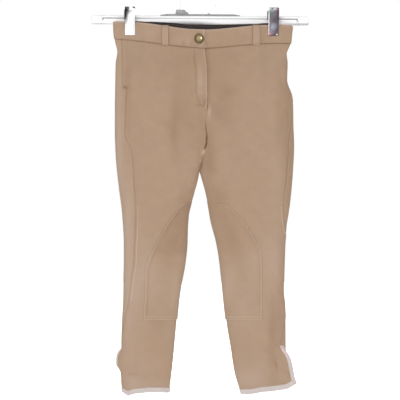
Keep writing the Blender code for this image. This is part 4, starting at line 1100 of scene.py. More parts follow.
def binding_rows(side):
    """The row along a binding's inner edge, on both flaps of the vent and the hem."""
    found = []
    for back in (0, 1):
        down = steps_between(VENT_TOP[side] + 2, PANEL_BOTTOM - 3)
        inset = binding_width(side, down) - BINDING_ROW
        flap = 1.0 - back
        angle = shifted(side, vent_edge(side, down, back), down, (2 * back - 1) * inset, flap)
        found.append(path(side, angle, down, flap))
        low = np.array([PANEL_BOTTOM])
        start = -QUARTER_TURN + back * FULL_TURN
        edge = vent_edge(side, low, back)
        end = shifted(side, edge, low, (2 * back - 1) * inset[-1], flap)[0]
        angle = np.linspace(start, end, 100)
        rows = true_down(side, back, PANEL_BOTTOM + HEM_ROW + 0 * angle, angle)
        found.append(path(side, angle, rows, flap))
    return found


def tab_rows(side):
    """The row round a closing tab's patch."""
    out, down = tab_outline(side, TAB_ROW)
    angle = angle_at(side, side * out, down)
    for _ in range(6):
        missed = out - side * place(side, angle, down, 1.0)[..., 0]
        angle = np.clip(angle + missed / speed(side, angle, down, 1.0), -1.5, 1.5)
    return [path(side, angle, down, 1.0)]


def tack(side, x, down, width, back=False):
    """A bar tack: close short threads across a line from side to side."""
    found = []
    for at in np.arange(-width / 2, width / 2, TACK_PITCH):
        ends = np.array([down - TACK_HALF, down + TACK_HALF])
        across = np.array([x + at, x + at + TACK_SLANT])
        found.append(path(side, angle_at(side, across, ends, back), ends))
    return found


def fly_tacks():
    """The bar tack at the foot of the fly and the one across its stitching."""
    foot = float(curve(CENTRE_FRONT, "x", np.array(FLY_END)))
    return tack(RIGHT, foot - 4.5, FLY_END - 1, 6.0) + tack(RIGHT, foot - 20, FLY_END - 24, 4.0)


def loop_tacks():
    """Bar tacks at both ends of each belt loop."""
    found = []
    for x, back in LOOPS.values():
        side = RIGHT if x < 0 else LEFT
        for column, shift in (("top", 1.9), ("seam", 0.2)):
            down = float(curve(band_edges(side, back), column, np.array(x))) + shift
            found += tack(side, x, down, LOOP_TACK, back)
    return found


# ---------------------------------------------------------------- finishes

def fill(tree, made, inputs):
    """Set or link a node's inputs, by name or number."""
    for socket, value in dict(inputs).items():
        if isinstance(value, bpy.types.NodeSocket):
            tree.links.new(value, made.inputs[socket])
        else:
            made.inputs[socket].default_value = value


def add(tree, kind, inputs=(), **settings):
    """Add a node with its settings and inputs."""
    made = tree.nodes.new("ShaderNode" + kind)
    for name, value in settings.items():
        setattr(made, name, value)
    fill(tree, made, inputs)
    return made


def maths(tree, operation, *values):
    """A sum on numbers or sockets."""
    return add(tree, "Math", enumerate(values), operation=operation).outputs[0]


def tint(tree, share, first, second, strength=None):
    """Two colours mixed by a share, of which a strength is taken."""
    share = share if strength is None else maths(tree, "MULTIPLY", share, strength)
    return add(tree, "Mix", {0: share, 6: first, 7: second}, data_type="RGBA").outputs[2]


def noise(tree, where, size, detail=3.0):
    """Soft noise with spots of about a size, in the units of the place it reads."""
    return add(tree, "TexNoise", {"Vector": where, "Scale": 1 / size,
                                  "Detail": detail}).outputs[0]


def ribs(tree, where, pitch, direction="DIAGONAL", distortion=0.4):
    """Fine parallel ridges from 0 to 1, a pitch apart."""
    period = {"DIAGONAL": 0.444, "X": 0.314, "Y": 0.314}[direction]
    return add(tree, "TexWave", {"Vector": where, "Scale": period / pitch,
                                 "Distortion": distortion, "Detail": 1.0},
               bands_direction=direction).outputs[1]


def bump(tree, height, depth, strength=1.0):
    """Normals of a height from 0 to 1 that stands for a depth in metres."""
    return add(tree, "Bump", {"Height": height, "Distance": depth,
                              "Strength": strength}).outputs[0]


def opaque(colour):
    """A colour with its fourth value."""
    return (*tuple(colour)[:3], 1.0)


def scaled(colour, *shares):
    """A colour made lighter or darker, by one share or by one for each of its values."""
    return opaque(min(1.0, share * value) for share, value in zip(shares * 3, colour))


def new_finish(name, **levels):
    """A material, its node tree and its shader, with the shader's even levels set."""
    made = bpy.data.materials.new(name)
    made.use_nodes = True
    shader = made.node_tree.nodes["Principled BSDF"]
    for socket, level in levels.items():
        shader.inputs[socket.replace("_", " ")].default_value = level
    return made, made.node_tree, shader


def cloth_map(tree):
    """The cloth's own map, one unit for each 10 mm."""
    return add(tree, "UVMap", uv_map="cloth").outputs[0]


def on_cloth(tree, label):
    """A value kept at the cloth's points."""
    return add(tree, "Attribute", attribute_name=label).outputs[2]


def twill_finish(colour):
    """Beige stretch twill: diagonal wale, short nap, uneven wash, rubbed edges and the painted
    shade and highlights kept at the cloth's points.
    """
    made, tree, shader = new_finish("stretch_twill", Roughness=0.9, Sheen_Weight=0.22,
                                    Sheen_Roughness=0.45, Specular_IOR_Level=0.25,
                                    Sheen_Tint=(1.0, 0.93, 0.86, 1.0))
    where = cloth_map(tree)
    wale = ribs(tree, where, 0.078)
    nap = noise(tree, where, 0.045, 2.0)
    patchy = noise(tree, where, 2.6, 4.0)
    wash = noise(tree, where, 9.0, 2.0)
    base = tint(tree, patchy, scaled(colour, 0.87), scaled(colour, 1.12))
    base = tint(tree, wash, base, scaled(colour, 1.05, 0.975, 0.92), 0.7)
    base = tint(tree, maths(tree, "SUBTRACT", 1.0, wale), base, scaled(colour, 0.55), 0.13)
    base = tint(tree, nap, base, scaled(colour, 1.35), 0.1)
    rubbed = maths(tree, "MULTIPLY", on_cloth(tree, "worn"), nap)
    base = tint(tree, rubbed, base, scaled(colour, 1.3), 0.42)
    # Kept at the points: real lightness and darkness with painted shade and highlights; lighter
    # above zero, darker and browner below.
    tone = on_cloth(tree, "tone")
    lighter = maths(tree, "MAXIMUM", tone, 0.0)
    base = tint(tree, lighter, base, scaled(colour, 1.16, 1.23, 1.36))
    dark = maths(tree, "MULTIPLY_ADD", maths(tree, "MINIMUM", tone, 0.0), 0.2, 1.0)
    rich = maths(tree, "MULTIPLY_ADD", maths(tree, "MINIMUM", tone, 0.0), -0.1, 1.0)
    base = add(tree, "HueSaturation", {"Value": maths(tree, "MAXIMUM", dark, 0.35),
                                       "Saturation": rich, "Color": base}).outputs[0]
    height = maths(tree, "MULTIPLY_ADD", wale, 0.55, maths(tree, "MULTIPLY", nap, 0.45))
    fill(tree, shader, {"Base Color": base, "Normal": bump(tree, height, 0.00014, 0.7)})
    return made


def lining_finish(colour):
    """Dark ribbed lining with short light stitches that hold its elastic."""
    made, tree, shader = new_finish("dark_lining", Roughness=0.88, Sheen_Weight=0.2,
                                    Specular_IOR_Level=0.2)
    where = cloth_map(tree)
    dashes = add(tree, "TexBrick", {
        "Vector": where, "Color1": opaque((1, 1, 1)), "Color2": opaque((0.35, 0.35, 0.35)),
        "Mortar": opaque((0, 0, 0)), "Scale": 1.0, "Mortar Size": 0.085,
        "Brick Width": 0.34, "Row Height": 0.26}).outputs[0]
    base = tint(tree, noise(tree, where, 0.5), scaled(colour, 0.7), scaled(colour, 1.5))
    base = tint(tree, dashes, base, opaque((0.34, 0.31, 0.3)), 0.3)
    height = maths(tree, "ADD", ribs(tree, where, 0.26, "Y", 0.1), dashes)
    fill(tree, shader, {"Base Color": base, "Normal": bump(tree, height, 0.0002)})
    return made


def binding_finish(colour):
    """Ribbed cream tape with a little pink in its folds and at the vents' tops."""
    made, tree, shader = new_finish("cream_tape", Roughness=0.8, Sheen_Weight=0.15,
                                    Specular_IOR_Level=0.3)
    where = cloth_map(tree)
    weave = maths(tree, "MULTIPLY", ribs(tree, where, 0.09, "X"), ribs(tree, where, 0.06, "Y"))
    base = tint(tree, noise(tree, where, 0.7), scaled(colour, 0.86), scaled(colour, 1.06))
    base = tint(tree, noise(tree, where, 1.8), base, scaled(colour, 0.98, 0.84, 0.82), 0.5)
    base = tint(tree, on_cloth(tree, "worn"), base, scaled(colour, 1.16, 0.92, 0.97))
    base = tint(tree, weave, base, scaled(colour, 0.6), 0.16)
    fill(tree, shader, {"Base Color": base, "Normal": bump(tree, weave, 0.00016)})
    return made


def thread_finish(name, colour):
    """Twisted sewing thread."""
    made, tree, shader = new_finish(name, Roughness=0.7, Sheen_Weight=0.15,
                                    Specular_IOR_Level=0.35)
    where = add(tree, "TexCoord").outputs["Object"]
    twist = ribs(tree, where, 0.0003)
    base = tint(tree, twist, scaled(colour, 0.78), scaled(colour, 1.05))
    fill(tree, shader, {"Base Color": base, "Normal": bump(tree, twist, 0.00006)})
    return made


def plastic_finish(name, colour, roughness, grime, marks=()):
    """Moulded plastic with a faint grain, handled marks, some dust and marks of painted shade."""
    made, tree, shader = new_finish(name, Specular_IOR_Level=0.45)
    where = add(tree, "TexCoord").outputs["Object"]
    dust, handled = noise(tree, where, 0.018, 4.0), noise(tree, where, 0.0016, 2.0)
    base = tint(tree, dust, opaque(colour), scaled(colour, 0.55), grime)
    base = marked(tree, where, base, marks)
    fill(tree, shader, {
        "Base Color": base, "Roughness": maths(tree, "MULTIPLY_ADD", handled, 0.18, roughness),
        "Normal": bump(tree, noise(tree, where, 0.0006), 0.00003)})
    return made


def marked(tree, where, base, marks):
    """Soft oval marks on a colour, each (colour, place, reach) in millimetres: painted shade,
    highlights and reflections.
    """
    for colour, at, reach in marks:
        away = add(tree, "VectorMath", {0: where, 1: mm(*at)}, operation="SUBTRACT").outputs[0]
        away = add(tree, "VectorMath", {0: away, 1: mm(*reach)}, operation="DIVIDE").outputs[0]
        far = add(tree, "VectorMath", {0: away}, operation="LENGTH").outputs["Value"]
        share = add(tree, "MapRange", {"Value": far, "From Min": 1.0, "From Max": 0.4}).outputs[0]
        base = tint(tree, share, base, opaque(colour))
    return base


def metal_finish(name, colour, roughness, shade, drawn=(1, 1, 1), marks=()):
    """Plated metal with fine drawn scratches, cloudier places and painted reflections and
    highlights as marks (colour, at, reach).
    """
    made, tree, shader = new_finish(name, Metallic=1.0)
    where = add(tree, "TexCoord").outputs["Object"]
    along = add(tree, "Mapping", {"Vector": where, "Scale": drawn}).outputs[0]
    scratches, cloud = noise(tree, along, 0.0007, 2.0), noise(tree, where, 0.011, 3.0)
    clearer = add(tree, "MapRange", {"Value": cloud, "From Min": 0.42, "From Max": 0.6}).outputs[0]
    base = tint(tree, clearer, scaled(colour, shade), opaque(colour))
    base = tint(tree, scratches, base, scaled(colour, 0.7), 0.3)
    base = marked(tree, where, base, marks)
    fill(tree, shader, {
        "Base Color": base, "Roughness": maths(tree, "MULTIPLY_ADD", scratches, 0.2, roughness),
        "Normal": bump(tree, scratches, 0.00002)})
    return made


# ---------------------------------------------------------------- modelling by hand

def mm(*values):
    """A place or size given in millimetres."""
    return Vector(values) * MM


def begin(kind, name, at, **shape):
    """Add a primitive by itself at a place in millimetres, and open it for editing."""
    bpy.ops.object.select_all(action="DESELECT")
    getattr(bpy.ops.mesh, "primitive_" + kind + "_add")(location=mm(*at), **shape)
    piece = bpy.context.object
    piece.name = piece.data.name = name
    bpy.ops.object.transform_apply(location=True, rotation=True, scale=True)
    bpy.ops.object.mode_set(mode="EDIT")
    return piece


def block(name, at, size):
    """A box to shape further, its size in millimetres."""
    piece = begin("cube", name, at, size=MM)
    resize(size, at)
    return piece


def pick(kind, test):
    """Select the VERTs, EDGEs or FACEs whose middle (mm) and direction pass a test."""
    bpy.ops.mesh.select_mode(type=kind)
    bpy.ops.mesh.select_all(action="DESELECT")
    mesh = bpy.context.object.data
    shape = bmesh.from_edit_mesh(mesh)
    found = {"VERT": shape.verts, "EDGE": shape.edges, "FACE": shape.faces}[kind]
    for part in found:
        corners = [part.co] if kind == "VERT" else [corner.co for corner in part.verts]
        way = (corners[1] - corners[0]).normalized() if kind == "EDGE" else part.normal
        if test(sum(corners, Vector()) / len(corners) / MM, way):
            part.select_set(True)
    shape.select_flush_mode()
    bmesh.update_edit_mesh(mesh)


def draw_out(*by):
    """Extrude what is selected by millimetres."""
    bpy.ops.mesh.extrude_region_move(TRANSFORM_OT_translate={"value": mm(*by)})


def resize(shares, about):
    """Scale what is selected about a place in millimetres."""
    bpy.ops.transform.resize(value=shares, center_override=mm(*about))


def slice_at(at, way):
    """Cut new edges right across a piece."""
    bpy.ops.mesh.select_all(action="SELECT")
    bpy.ops.mesh.bisect(plane_co=mm(*at), plane_no=way)


def round_off(radius, segments):
    """Bevel the selected edges by a radius in millimetres."""
    bpy.ops.mesh.bevel(offset=radius * MM, segments=segments, affect="EDGES")


def round_rim(test, radius, segments):
    """Bevel the edge round the faces that pass a test."""
    pick("FACE", test)
    bpy.ops.mesh.region_to_loop()
    round_off(radius, segments)


def draw_rings(at, axis, rings):
    """Draw the selected ring out from the first (radius, measure along an axis) to the last."""
    for (radius, along), (wider, further) in zip(rings, rings[1:]):
        draw_out(*axis * (further - along))
        resize((wider / radius,) * 3, at + axis * further)


def lathed(name, at, axis, rings, sides=32, squeeze=1.0):
    """A round piece drawn out from a disc, ring by ring: (radius, measure along its axis)."""
    at, axis = Vector(at), Vector(axis)
    radius, along = rings[0]
    piece = begin("circle", name, at + axis * along, vertices=sides, radius=radius * MM,
                  fill_type="NGON", rotation=axis.to_track_quat("Z", "Y").to_euler())
    resize((1, squeeze, 1), at)
    draw_rings(at, axis, rings)
    return piece


def close_up():
    """Merge doubles, turn the faces outwards and leave edit mode."""
    bpy.ops.mesh.select_all(action="SELECT")
    bpy.ops.mesh.remove_doubles(threshold=1e-6)
    bpy.ops.mesh.normals_make_consistent(inside=False)
    bpy.ops.object.mode_set(mode="OBJECT")


def apply(piece, kind, **settings):
    """Give a piece a modifier and apply it."""
    modifier = piece.modifiers.new(kind.title(), kind)
    for name, value in settings.items():
        setattr(modifier, name, value)
    bpy.ops.object.modifier_apply(modifier=modifier.name)


def tilt_with_hanger(piece):
    """Turn a piece about the bar's middle, as the whole hanger hangs."""
    piece.data.transform(Matrix.Translation(mm(0, 0, BAR_Z))
                         @ Matrix.Rotation(HANGER_TILT, 4, "Y")
                         @ Matrix.Translation(mm(0, 0, -BAR_Z)))


def complete(piece, finishes, slot, node, tilted=True, sharper=35):
    """Shade a modelled piece, tilt it with the hanger, let it ride with the part and hide its
    node.
    """
    if piece.mode == "EDIT":
        close_up()
    bpy.ops.object.shade_smooth_by_angle(angle=math.radians(sharper))
    if tilted:
        tilt_with_hanger(piece)
    for finish in finishes:
        piece.data.materials.append(finish)
    return hand_in(piece, slot, node)


def paint(piece, test):
    """Give a piece's second finish to the faces whose middle (mm) passes a test."""
    for face in piece.data.polygons:
        if test(face.center / MM):
            face.material_index = 1


# ---------------------------------------------------------------- button and hanger

CAD_GAP = 0.3
HANGER_TILT = math.radians(0.37)
BAR_Z, BAR_HEIGHT, BAR_DEPTH, BAR_END, BAR_ROUND = -72.0, 16.3, 8.0, 178.0, 3.4
CAP_END, GROOVE_Z, GROOVE_WIDTH, GROOVE_DEPTH, GROOVE_SHORT = 197.5, 2.6, 2.0, 0.6, 1.0
NOTCH_WIDTH, NOTCH_DROP = 1.6, 3.6
SADDLE_END, SADDLE_HEIGHT, SADDLE_DEPTH = 72.0, 2.5, 6.4
SADDLE_TIP, SADDLE_SLOPE, STUD_X = 0.8, 12.0, 16.0
SADDLE_TOP = BAR_Z + BAR_HEIGHT / 2 + CAD_GAP + SADDLE_HEIGHT
SHANK_X, HOOK_WIRE, HOOK_RADIUS, HOOK_SWEEP = -33.0, 3.6, 33.0, math.radians(205)
BOSS_TOP_Z, BOSS_FLATNESS, BORE_FLOOR = -53.0, 0.48, 1.5
BOSS_TOP_RADIUS, BOSS_LEAN = 7.0, 2.4
CLIP_WIDTH, CLIP_SHEET, CLIP_CORNER, CLIP_EDGE = 19.0, 0.9, 1.6, 0.16
CLIP_HOLE, CLIP_HOLE_DOWN = 1.1, 2.4
SLIDER_WIDTH, SLIDER_SHEET, SLIDER_GAP = 10.0, 1.0, 0.3
SPRING_Y, SPRING_Z, SPRING_RADIUS, SPRING_WIRE = -15.0, -66.0, 2.8, 1.1
EAR_ROWS, EAR_PAST, EAR_SPLAY = (1, 3), 2.6, 2.2
CLIP_FRONT = [(-52, -27.3), (-57, -27), (-65, -24.6), (-73, -22.4), (-82, -20.6),
              (-95, -18.1), (-101.8, -17.8)]
CLIP_BACK = [(-53.5, -6.2), (-58, -6.2), (-65, -6.3), (-73, -6.9), (-82, -8.2), (-95, -9.6),
             (-101.8, -9.8)]
BUTTON_RINGS = [(0.38, 0), (0.38, 0.26), (0.82, 0.29), (0.96, 0.34), (1, 0.4), (1, 0.47),
                (0.97, 0.53), (0.91, 0.57), (0.85, 0.56), (0.81, 0.53), (0.79, 0.57),
                (0.75, 0.67), (0.67, 0.78), (0.56, 0.87), (0.43, 0.94), (0.28, 0.98), (0.13, 1)]


def button(gold, aged):
    """Domed shank button with a rolled rim round a groove."""
    down, x = np.array([BUTTON_DOWN]), np.array([BUTTON_X])
    seat = place(RIGHT, angle_at(RIGHT, x, down), down, lift=fly_lift(x, down))[0]
    at = (seat[0], seat[1] - BAND_PROUD - CAD_GAP, seat[2])
    rings = [(radius * BUTTON_RADIUS, out * BUTTON_HEIGHT) for radius, out in BUTTON_RINGS]
    piece = lathed("button_domed", at, (0, -1, 0), rings, sides=48)
    piece = complete(piece, (gold, aged), "button_brass", "button", tilted=False, sharper=60)
    low, high = 0.74 * BUTTON_RADIUS, 0.93 * BUTTON_RADIUS
    paint(piece, lambda face: low < math.hypot(face.x - at[0], face.z - at[2]) < high)
    return piece


def hanger_bar(white, dust_and_shade):
    """The bar, its long edges rounded, and a groove along its front with dust and painted shade.
    """
    piece = block("hanger_bar_moulded", (0, 0, BAR_Z), (2 * BAR_END, BAR_DEPTH, BAR_HEIGHT))
    pick("EDGE", lambda at, way: abs(way.x) > 0.9)
    round_off(BAR_ROUND, 7)
    groove, half, end = BAR_Z + GROOVE_Z, GROOVE_WIDTH / 2, BAR_END - GROOVE_SHORT
    for z in (groove - half - NOTCH_DROP, groove - half, groove + half):
        slice_at((0, 0, z), (0, 0, 1))
    for x in (-end, NOTCH_WIDTH - end, end - NOTCH_WIDTH, end):
        slice_at((x, 0, 0), (1, 0, 0))

    def sunk(at):
        """Whether a place is in the groove or in the notch at each end of it."""
        low = groove - half - NOTCH_DROP * (abs(at.x) > end - NOTCH_WIDTH) - 0.01
        return abs(at.x) < end and low < at.z < groove + half + 0.01

    pick("FACE", lambda at, way: way.y < -0.99 and sunk(at))
    draw_out(0, GROOVE_DEPTH, 0)
    round_rim(lambda at, way: abs(way.x) > 0.99 and abs(at.x) > BAR_END - 0.1, 0.25, 2)
    floor = GROOVE_DEPTH - BAR_DEPTH / 2
    piece = complete(piece, (white, dust_and_shade), "bar_plastic", "hanger_bar", tilted=False)
    # The groove's floor takes the second finish: dust with painted shade.
    paint(piece, lambda face: abs(face.y - floor) < 0.35 and sunk(face))
    tilt_with_hanger(piece)
    return piece


def hanger_cap(side, white):
    """The bar's rounded end, with a fine seam where it is pushed on."""
    start, middle = BAR_END + CAD_GAP, (BAR_END + CAD_GAP + CAP_END) / 2
    piece = block("hanger_cap_moulded_" + SIDE_NAME[side], (side * middle, 0, BAR_Z),
                  (CAP_END - start, BAR_DEPTH, BAR_HEIGHT))
    pick("EDGE", lambda at, way: abs(way.x) > 0.9)
    round_off(BAR_ROUND, 7)
    round_rim(lambda at, way: side * way.x > 0.99, 3.0, 6)
    round_rim(lambda at, way: side * way.x < -0.99, 0.3, 2)
    return complete(piece, (white,), "bar_plastic", "hanger_cap_" + SIDE_NAME[side])


def saddle(finish):
    """Flat rib on the bar, its ends sloped down to it."""
    low = BAR_Z + BAR_HEIGHT / 2 + CAD_GAP
    piece = block("hanger_saddle_moulded", (0, 0, low + SADDLE_HEIGHT / 2),
                  (2 * SADDLE_END, SADDLE_DEPTH, SADDLE_HEIGHT))
    for x in (SADDLE_SLOPE - SADDLE_END, SADDLE_END - SADDLE_SLOPE):
        slice_at((x, 0, 0), (1, 0, 0))
    pick("VERT", lambda at, way: abs(at.x) > SADDLE_END - 1 and at.z > low + 1)
    bpy.ops.transform.translate(value=mm(0, 0, SADDLE_TIP - SADDLE_HEIGHT))
    pick("EDGE", lambda at, way: at.z > low + SADDLE_TIP / 2 + 0.1 and abs(way.x) > 0.9)
    round_off(0.7, 3)
    return complete(piece, (finish,), "bar_plastic", "hanger_saddle")


def boss(finish):
    """Flattened boss with a collar, and the blind hole that the hook stands in."""
    low, top = SADDLE_TOP + CAD_GAP, BOSS_TOP_Z
    high = top - low
    piece = lathed("hook_boss_moulded", (SHANK_X, 0, low), (0, 0, 1), [
        (12, 0), (12, 0.5), (11.7, 2.1), (11.2, 2.5), (10.3, 2.8), (8.6, high - 2),
        (8.2, high - 0.9), (7.7, high - 0.3), (BOSS_TOP_RADIUS, high)], squeeze=BOSS_FLATNESS)
    bore = HOOK_WIRE / 2 + CAD_GAP
    draw_out(0, 0, 0)
    resize((bore / BOSS_TOP_RADIUS, bore / BOSS_TOP_RADIUS / BOSS_FLATNESS, 1),
           (SHANK_X, 0, top))
    draw_out(0, 0, low + BORE_FLOOR - top)
    pick("VERT", lambda at, way: at.z > low + 2.9
         and math.hypot(at.x - SHANK_X, at.y / BOSS_FLATNESS) > BOSS_TOP_RADIUS - 0.5)
    bpy.ops.transform.translate(value=mm(-BOSS_LEAN, 0, 0))
    return complete(piece, (finish,), "boss_plastic", "hook_boss", sharper=40)


def stud(finish):
    """Small round stud on the rib."""
    piece = lathed("saddle_stud_moulded", (STUD_X, 0, SADDLE_TOP + CAD_GAP), (0, 0, 1), [
        (2.2, 0), (2.2, 0.6), (2.0, 1.0), (1.6, 1.35), (1.0, 1.55), (0.5, 1.6)], sides=20)
    return complete(piece, (finish,), "boss_plastic", "saddle_stud", sharper=50)


def hook(finish):
    """The hook, bent from wire: a straight shank, a crown and a rounded tip."""
    crown_z, radius = HOOK_WIRE / 2 - HOOK_RADIUS, HOOK_WIRE / 2
    foot_z = SADDLE_TOP + CAD_GAP + BORE_FLOOR + 0.5
    piece = begin("circle", "hook_bent", (SHANK_X, 0, foot_z), vertices=16,
                  radius=radius * MM, fill_type="NOTHING")
    draw_out(0, 0, crown_z - foot_z)
    bpy.ops.mesh.spin(steps=56, angle=-HOOK_SWEEP, center=mm(0, 0, crown_z), axis=(0, 1, 0))
    turn = math.pi - HOOK_SWEEP
    tip = Vector((HOOK_RADIUS * math.cos(turn), 0, crown_z + HOOK_RADIUS * math.sin(turn)))
    heading = Vector((math.sin(turn), 0, -math.cos(turn)))
    draw_rings(tip, heading, ((1.0, 0.0), (0.92, 0.6), (0.7, 1.2), (0.35, 1.6)))
    bpy.ops.mesh.edge_face_add()
    pick("VERT", lambda at, way: at.z < foot_z + 0.1)
    bpy.ops.mesh.edge_face_add()
    return complete(piece, (finish,), "clip_metal", "hook", tilted=False, sharper=50)


# ---------------------------------------------------------------- clips

def clip_plate(name, x, rows, inset, ear_tip, node, finish):
    """A pressed plate drawn down row by row (z, y), an ear on each side to the spring."""
    wing = CLIP_WIDTH / 2 - CLIP_SHEET / 2 - inset
    (top, front), (low, second) = rows[:2]
    middle = (x, front, (top + low) / 2)
    piece = begin("plane", name, middle, size=MM, rotation=(QUARTER_TURN, 0, 0))
    resize((2 * wing, 1, top - low), middle)
    pick("VERT", lambda at, way: at.z < (top + low) / 2)
    bpy.ops.transform.translate(value=mm(0, second - front, 0))
    pick("EDGE", lambda at, way: at.z < low + 0.5)
    for (z, y), (next_z, next_y) in zip(rows[1:], rows[2:]):
        draw_out(0, next_y - y, next_z - z)
    first, last = rows[EAR_ROWS[0]][0], rows[EAR_ROWS[1]][0]
    pick("EDGE", lambda at, way: abs(at.x - x) > wing - 0.1 and last < at.z < first)
    draw_out(0, (ear_tip - rows[EAR_ROWS[0]][1]), 0)
    resize((1, 0, 1), (x, ear_tip, (first + last) / 2))
    pick("VERT", lambda at, way: at.x < x and abs(at.y - ear_tip) < 0.1 and at.z < top - 1)
    bpy.ops.transform.translate(value=mm(-EAR_SPLAY, 0, 0))
    bottom = rows[-1][0]
    pick("VERT", lambda at, way: abs(at.x - x) > wing - 0.1
         and (at.z > top - 0.1 or at.z < bottom + 0.1))
    bpy.ops.mesh.bevel(offset=CLIP_CORNER * MM, segments=4, affect="VERTICES")
    close_up()
    apply(piece, "SOLIDIFY", thickness=CLIP_SHEET * MM, offset=0.0, use_even_offset=True)
    punch = begin("cylinder", "clip_punch", (x, front, top - CLIP_HOLE_DOWN), vertices=20,
                  radius=CLIP_HOLE * MM, depth=8 * MM, rotation=(QUARTER_TURN, 0, 0))
    bpy.ops.object.mode_set(mode="OBJECT")
    bpy.context.view_layer.objects.active = piece
    apply(piece, "BOOLEAN", object=punch, operation="DIFFERENCE")
    bpy.data.objects.remove(punch)
    apply(piece, "BEVEL", width=CLIP_EDGE * MM, segments=2, limit_method="ANGLE",
          angle_limit=math.radians(50))
    piece.select_set(True)
    return complete(piece, (finish,), "clip_metal", node)


def clip_spring(name, x, node, finish):
    """The coil between the plates."""
    reach = CLIP_WIDTH / 2 - 2 * CLIP_SHEET - 2 * CAD_GAP
    turns, pitch = 11, (2 * reach - SPRING_WIRE) / 11
    piece = begin("circle", name, (0, SPRING_RADIUS - SPRING_WIRE / 2, 0), vertices=8,
                  radius=SPRING_WIRE / 2 * MM, fill_type="NOTHING")
    bpy.ops.object.mode_set(mode="OBJECT")
    apply(piece, "SCREW", axis="X", screw_offset=pitch * MM, iterations=turns, steps=14,
          render_steps=14, use_merge_vertices=True)
    piece.data.transform(Matrix.Translation(mm(x - pitch * turns / 2, SPRING_Y, SPRING_Z)))
    bpy.ops.object.mode_set(mode="EDIT")
    bpy.ops.mesh.select_all(action="SELECT")
    bpy.ops.mesh.fill_holes(sides=8)
    return complete(piece, (finish,), "clip_metal", node, sharper=60)


def clip_slider(name, x, node, finish):
    """The sleeve that slides along the bar."""
    gap = 2 * (SLIDER_GAP + SLIDER_SHEET)
    piece = block(name, (x, 0, BAR_Z), (SLIDER_WIDTH, BAR_DEPTH + gap, BAR_HEIGHT + gap))
    pick("EDGE", lambda at, way: abs(way.x) > 0.9)
    round_off(BAR_ROUND + gap / 2, 6)
    pick("FACE", lambda at, way: abs(way.x) > 0.99)
    bpy.ops.mesh.inset(thickness=SLIDER_SHEET * MM)
    bpy.ops.mesh.bridge_edge_loops()
    round_rim(lambda at, way: abs(way.x) > 0.99, 0.2, 2)
    return complete(piece, (finish,), "clip_metal", node)


def clip(side, plate, wire):
    """A spring clip on its slider."""
    x, end = CLIP_X[side], SIDE_NAME[side]
    clip_plate("clip_jaw_front_" + end, x, CLIP_FRONT, 0, SPRING_Y + EAR_PAST,
               "clip_front_" + end, plate)
    clip_plate("clip_jaw_back_" + end, x, CLIP_BACK, CLIP_SHEET + CAD_GAP, SPRING_Y - EAR_PAST,
               "clip_back_" + end, plate)
    clip_spring("clip_coil_" + end, x, "clip_spring_" + end, wire)
    clip_slider("clip_sleeve_" + end, x, "clip_slider_" + end, wire)


# ---------------------------------------------------------------- sizes and colours to change

def a_length(name, description, default):
    """A length to change, in metres."""
    return FloatProperty(name=name, description=description, default=default, unit="LENGTH")


def two_lengths(name, description, *default):
    """Two lengths to change, in metres."""
    return FloatVectorProperty(name=name, description=description, size=2, default=default,
                               unit="LENGTH")


def a_colour(name, description, *default):
    """A colour to change."""
    return FloatVectorProperty(name=name, description=description, size=3, default=default,
                               subtype="COLOR")


class BreechesCloth(bpy.types.PropertyGroup):
    """The garment's cloth."""
    creases: FloatProperty(
        name="Creases", description="How deep the finer creases are", default=1.0, min=0.0,
        max=2.0, subtype="FACTOR")
    thickness: a_length("Thickness", "Thickness of the twill", 0.0012)
    seam_roll: a_length("Seam roll", "How far a panel's edge rolls in at a seam", 0.0007)
    patch_rise: a_length("Patch rise", "Height of a knee patch over the leg", 0.0014)
    patch_rows: two_lengths(
        "Patch rows", "How far inside a patch's edge its two rows run", 0.001, 0.0056)
    colour: a_colour("Twill", "Colour of the twill", 0.373, 0.26, 0.181)
    lining: a_colour("Lining", "Colour of the waistband's lining", 0.03, 0.023, 0.021)
    binding: a_colour("Binding", "Colour of the hem binding", 0.6, 0.55, 0.53)


class BreechesSewing(bpy.types.PropertyGroup):
    """The stitches that show."""
    stitch: a_length("Stitch", "Length of a stitch", 0.0019)
    gap: a_length("Gap", "Cloth between two stitches", 0.0023)
    thread: a_length("Thread", "Thickness of the thread", 0.0009)
    outseam_rows: two_lengths(
        "Outseam rows", "How far the two rows run from the side seam", 0.0014, 0.0044)
    matched: a_colour("Matched thread", "Thread on seams and waistband", 0.42, 0.31, 0.22)
    light: a_colour("Light thread", "Thread round the patches and outseams", 0.84, 0.75, 0.64)


class BreechesHanger(bpy.types.PropertyGroup):
    """The button's and the hanger's finishes."""
    gold: a_colour("Button", "Colour of the button's metal", 0.27, 0.205, 0.1)
    white: a_colour("Bar", "Colour of the bar's plastic", 0.95, 0.955, 0.96)
    grey: a_colour("Boss", "Colour of the hook's boss", 0.38, 0.38, 0.385)
    chrome: a_colour("Chrome", "Colour of the plated metal", 0.86, 0.86, 0.87)


class BreechesStage(bpy.types.PropertyGroup):
    """The camera, the floor and the light."""
    distance: a_length("Distance", "Camera's distance from the garment", 2.207)
    lens: FloatProperty(
        name="Lens", description="Focal length in millimetres", default=110.0)
    floor: a_length("Floor", "Height of the floor under the hook", -0.95)
    ambient: FloatProperty(
        name="Ambient", description="Strength of the light from all round", default=0.52)


# ---------------------------------------------------------------- operators

def twill():
    """The garment's twill, made the first time that it is asked for."""
    made = bpy.data.materials.get("stretch_twill")
    return made or twill_finish(bpy.context.scene.breeches_cloth.colour)


class BREECHES_OT_panels(bpy.types.Operator):
    """Make the fronts and backs"""
    bl_idname = "breeches.panels"
    bl_label = "Fronts and Backs"

    def execute(self, context):
        for side in SIDES:
            for back in (0, 1):
                panel(side, back, twill())
        return {"FINISHED"}


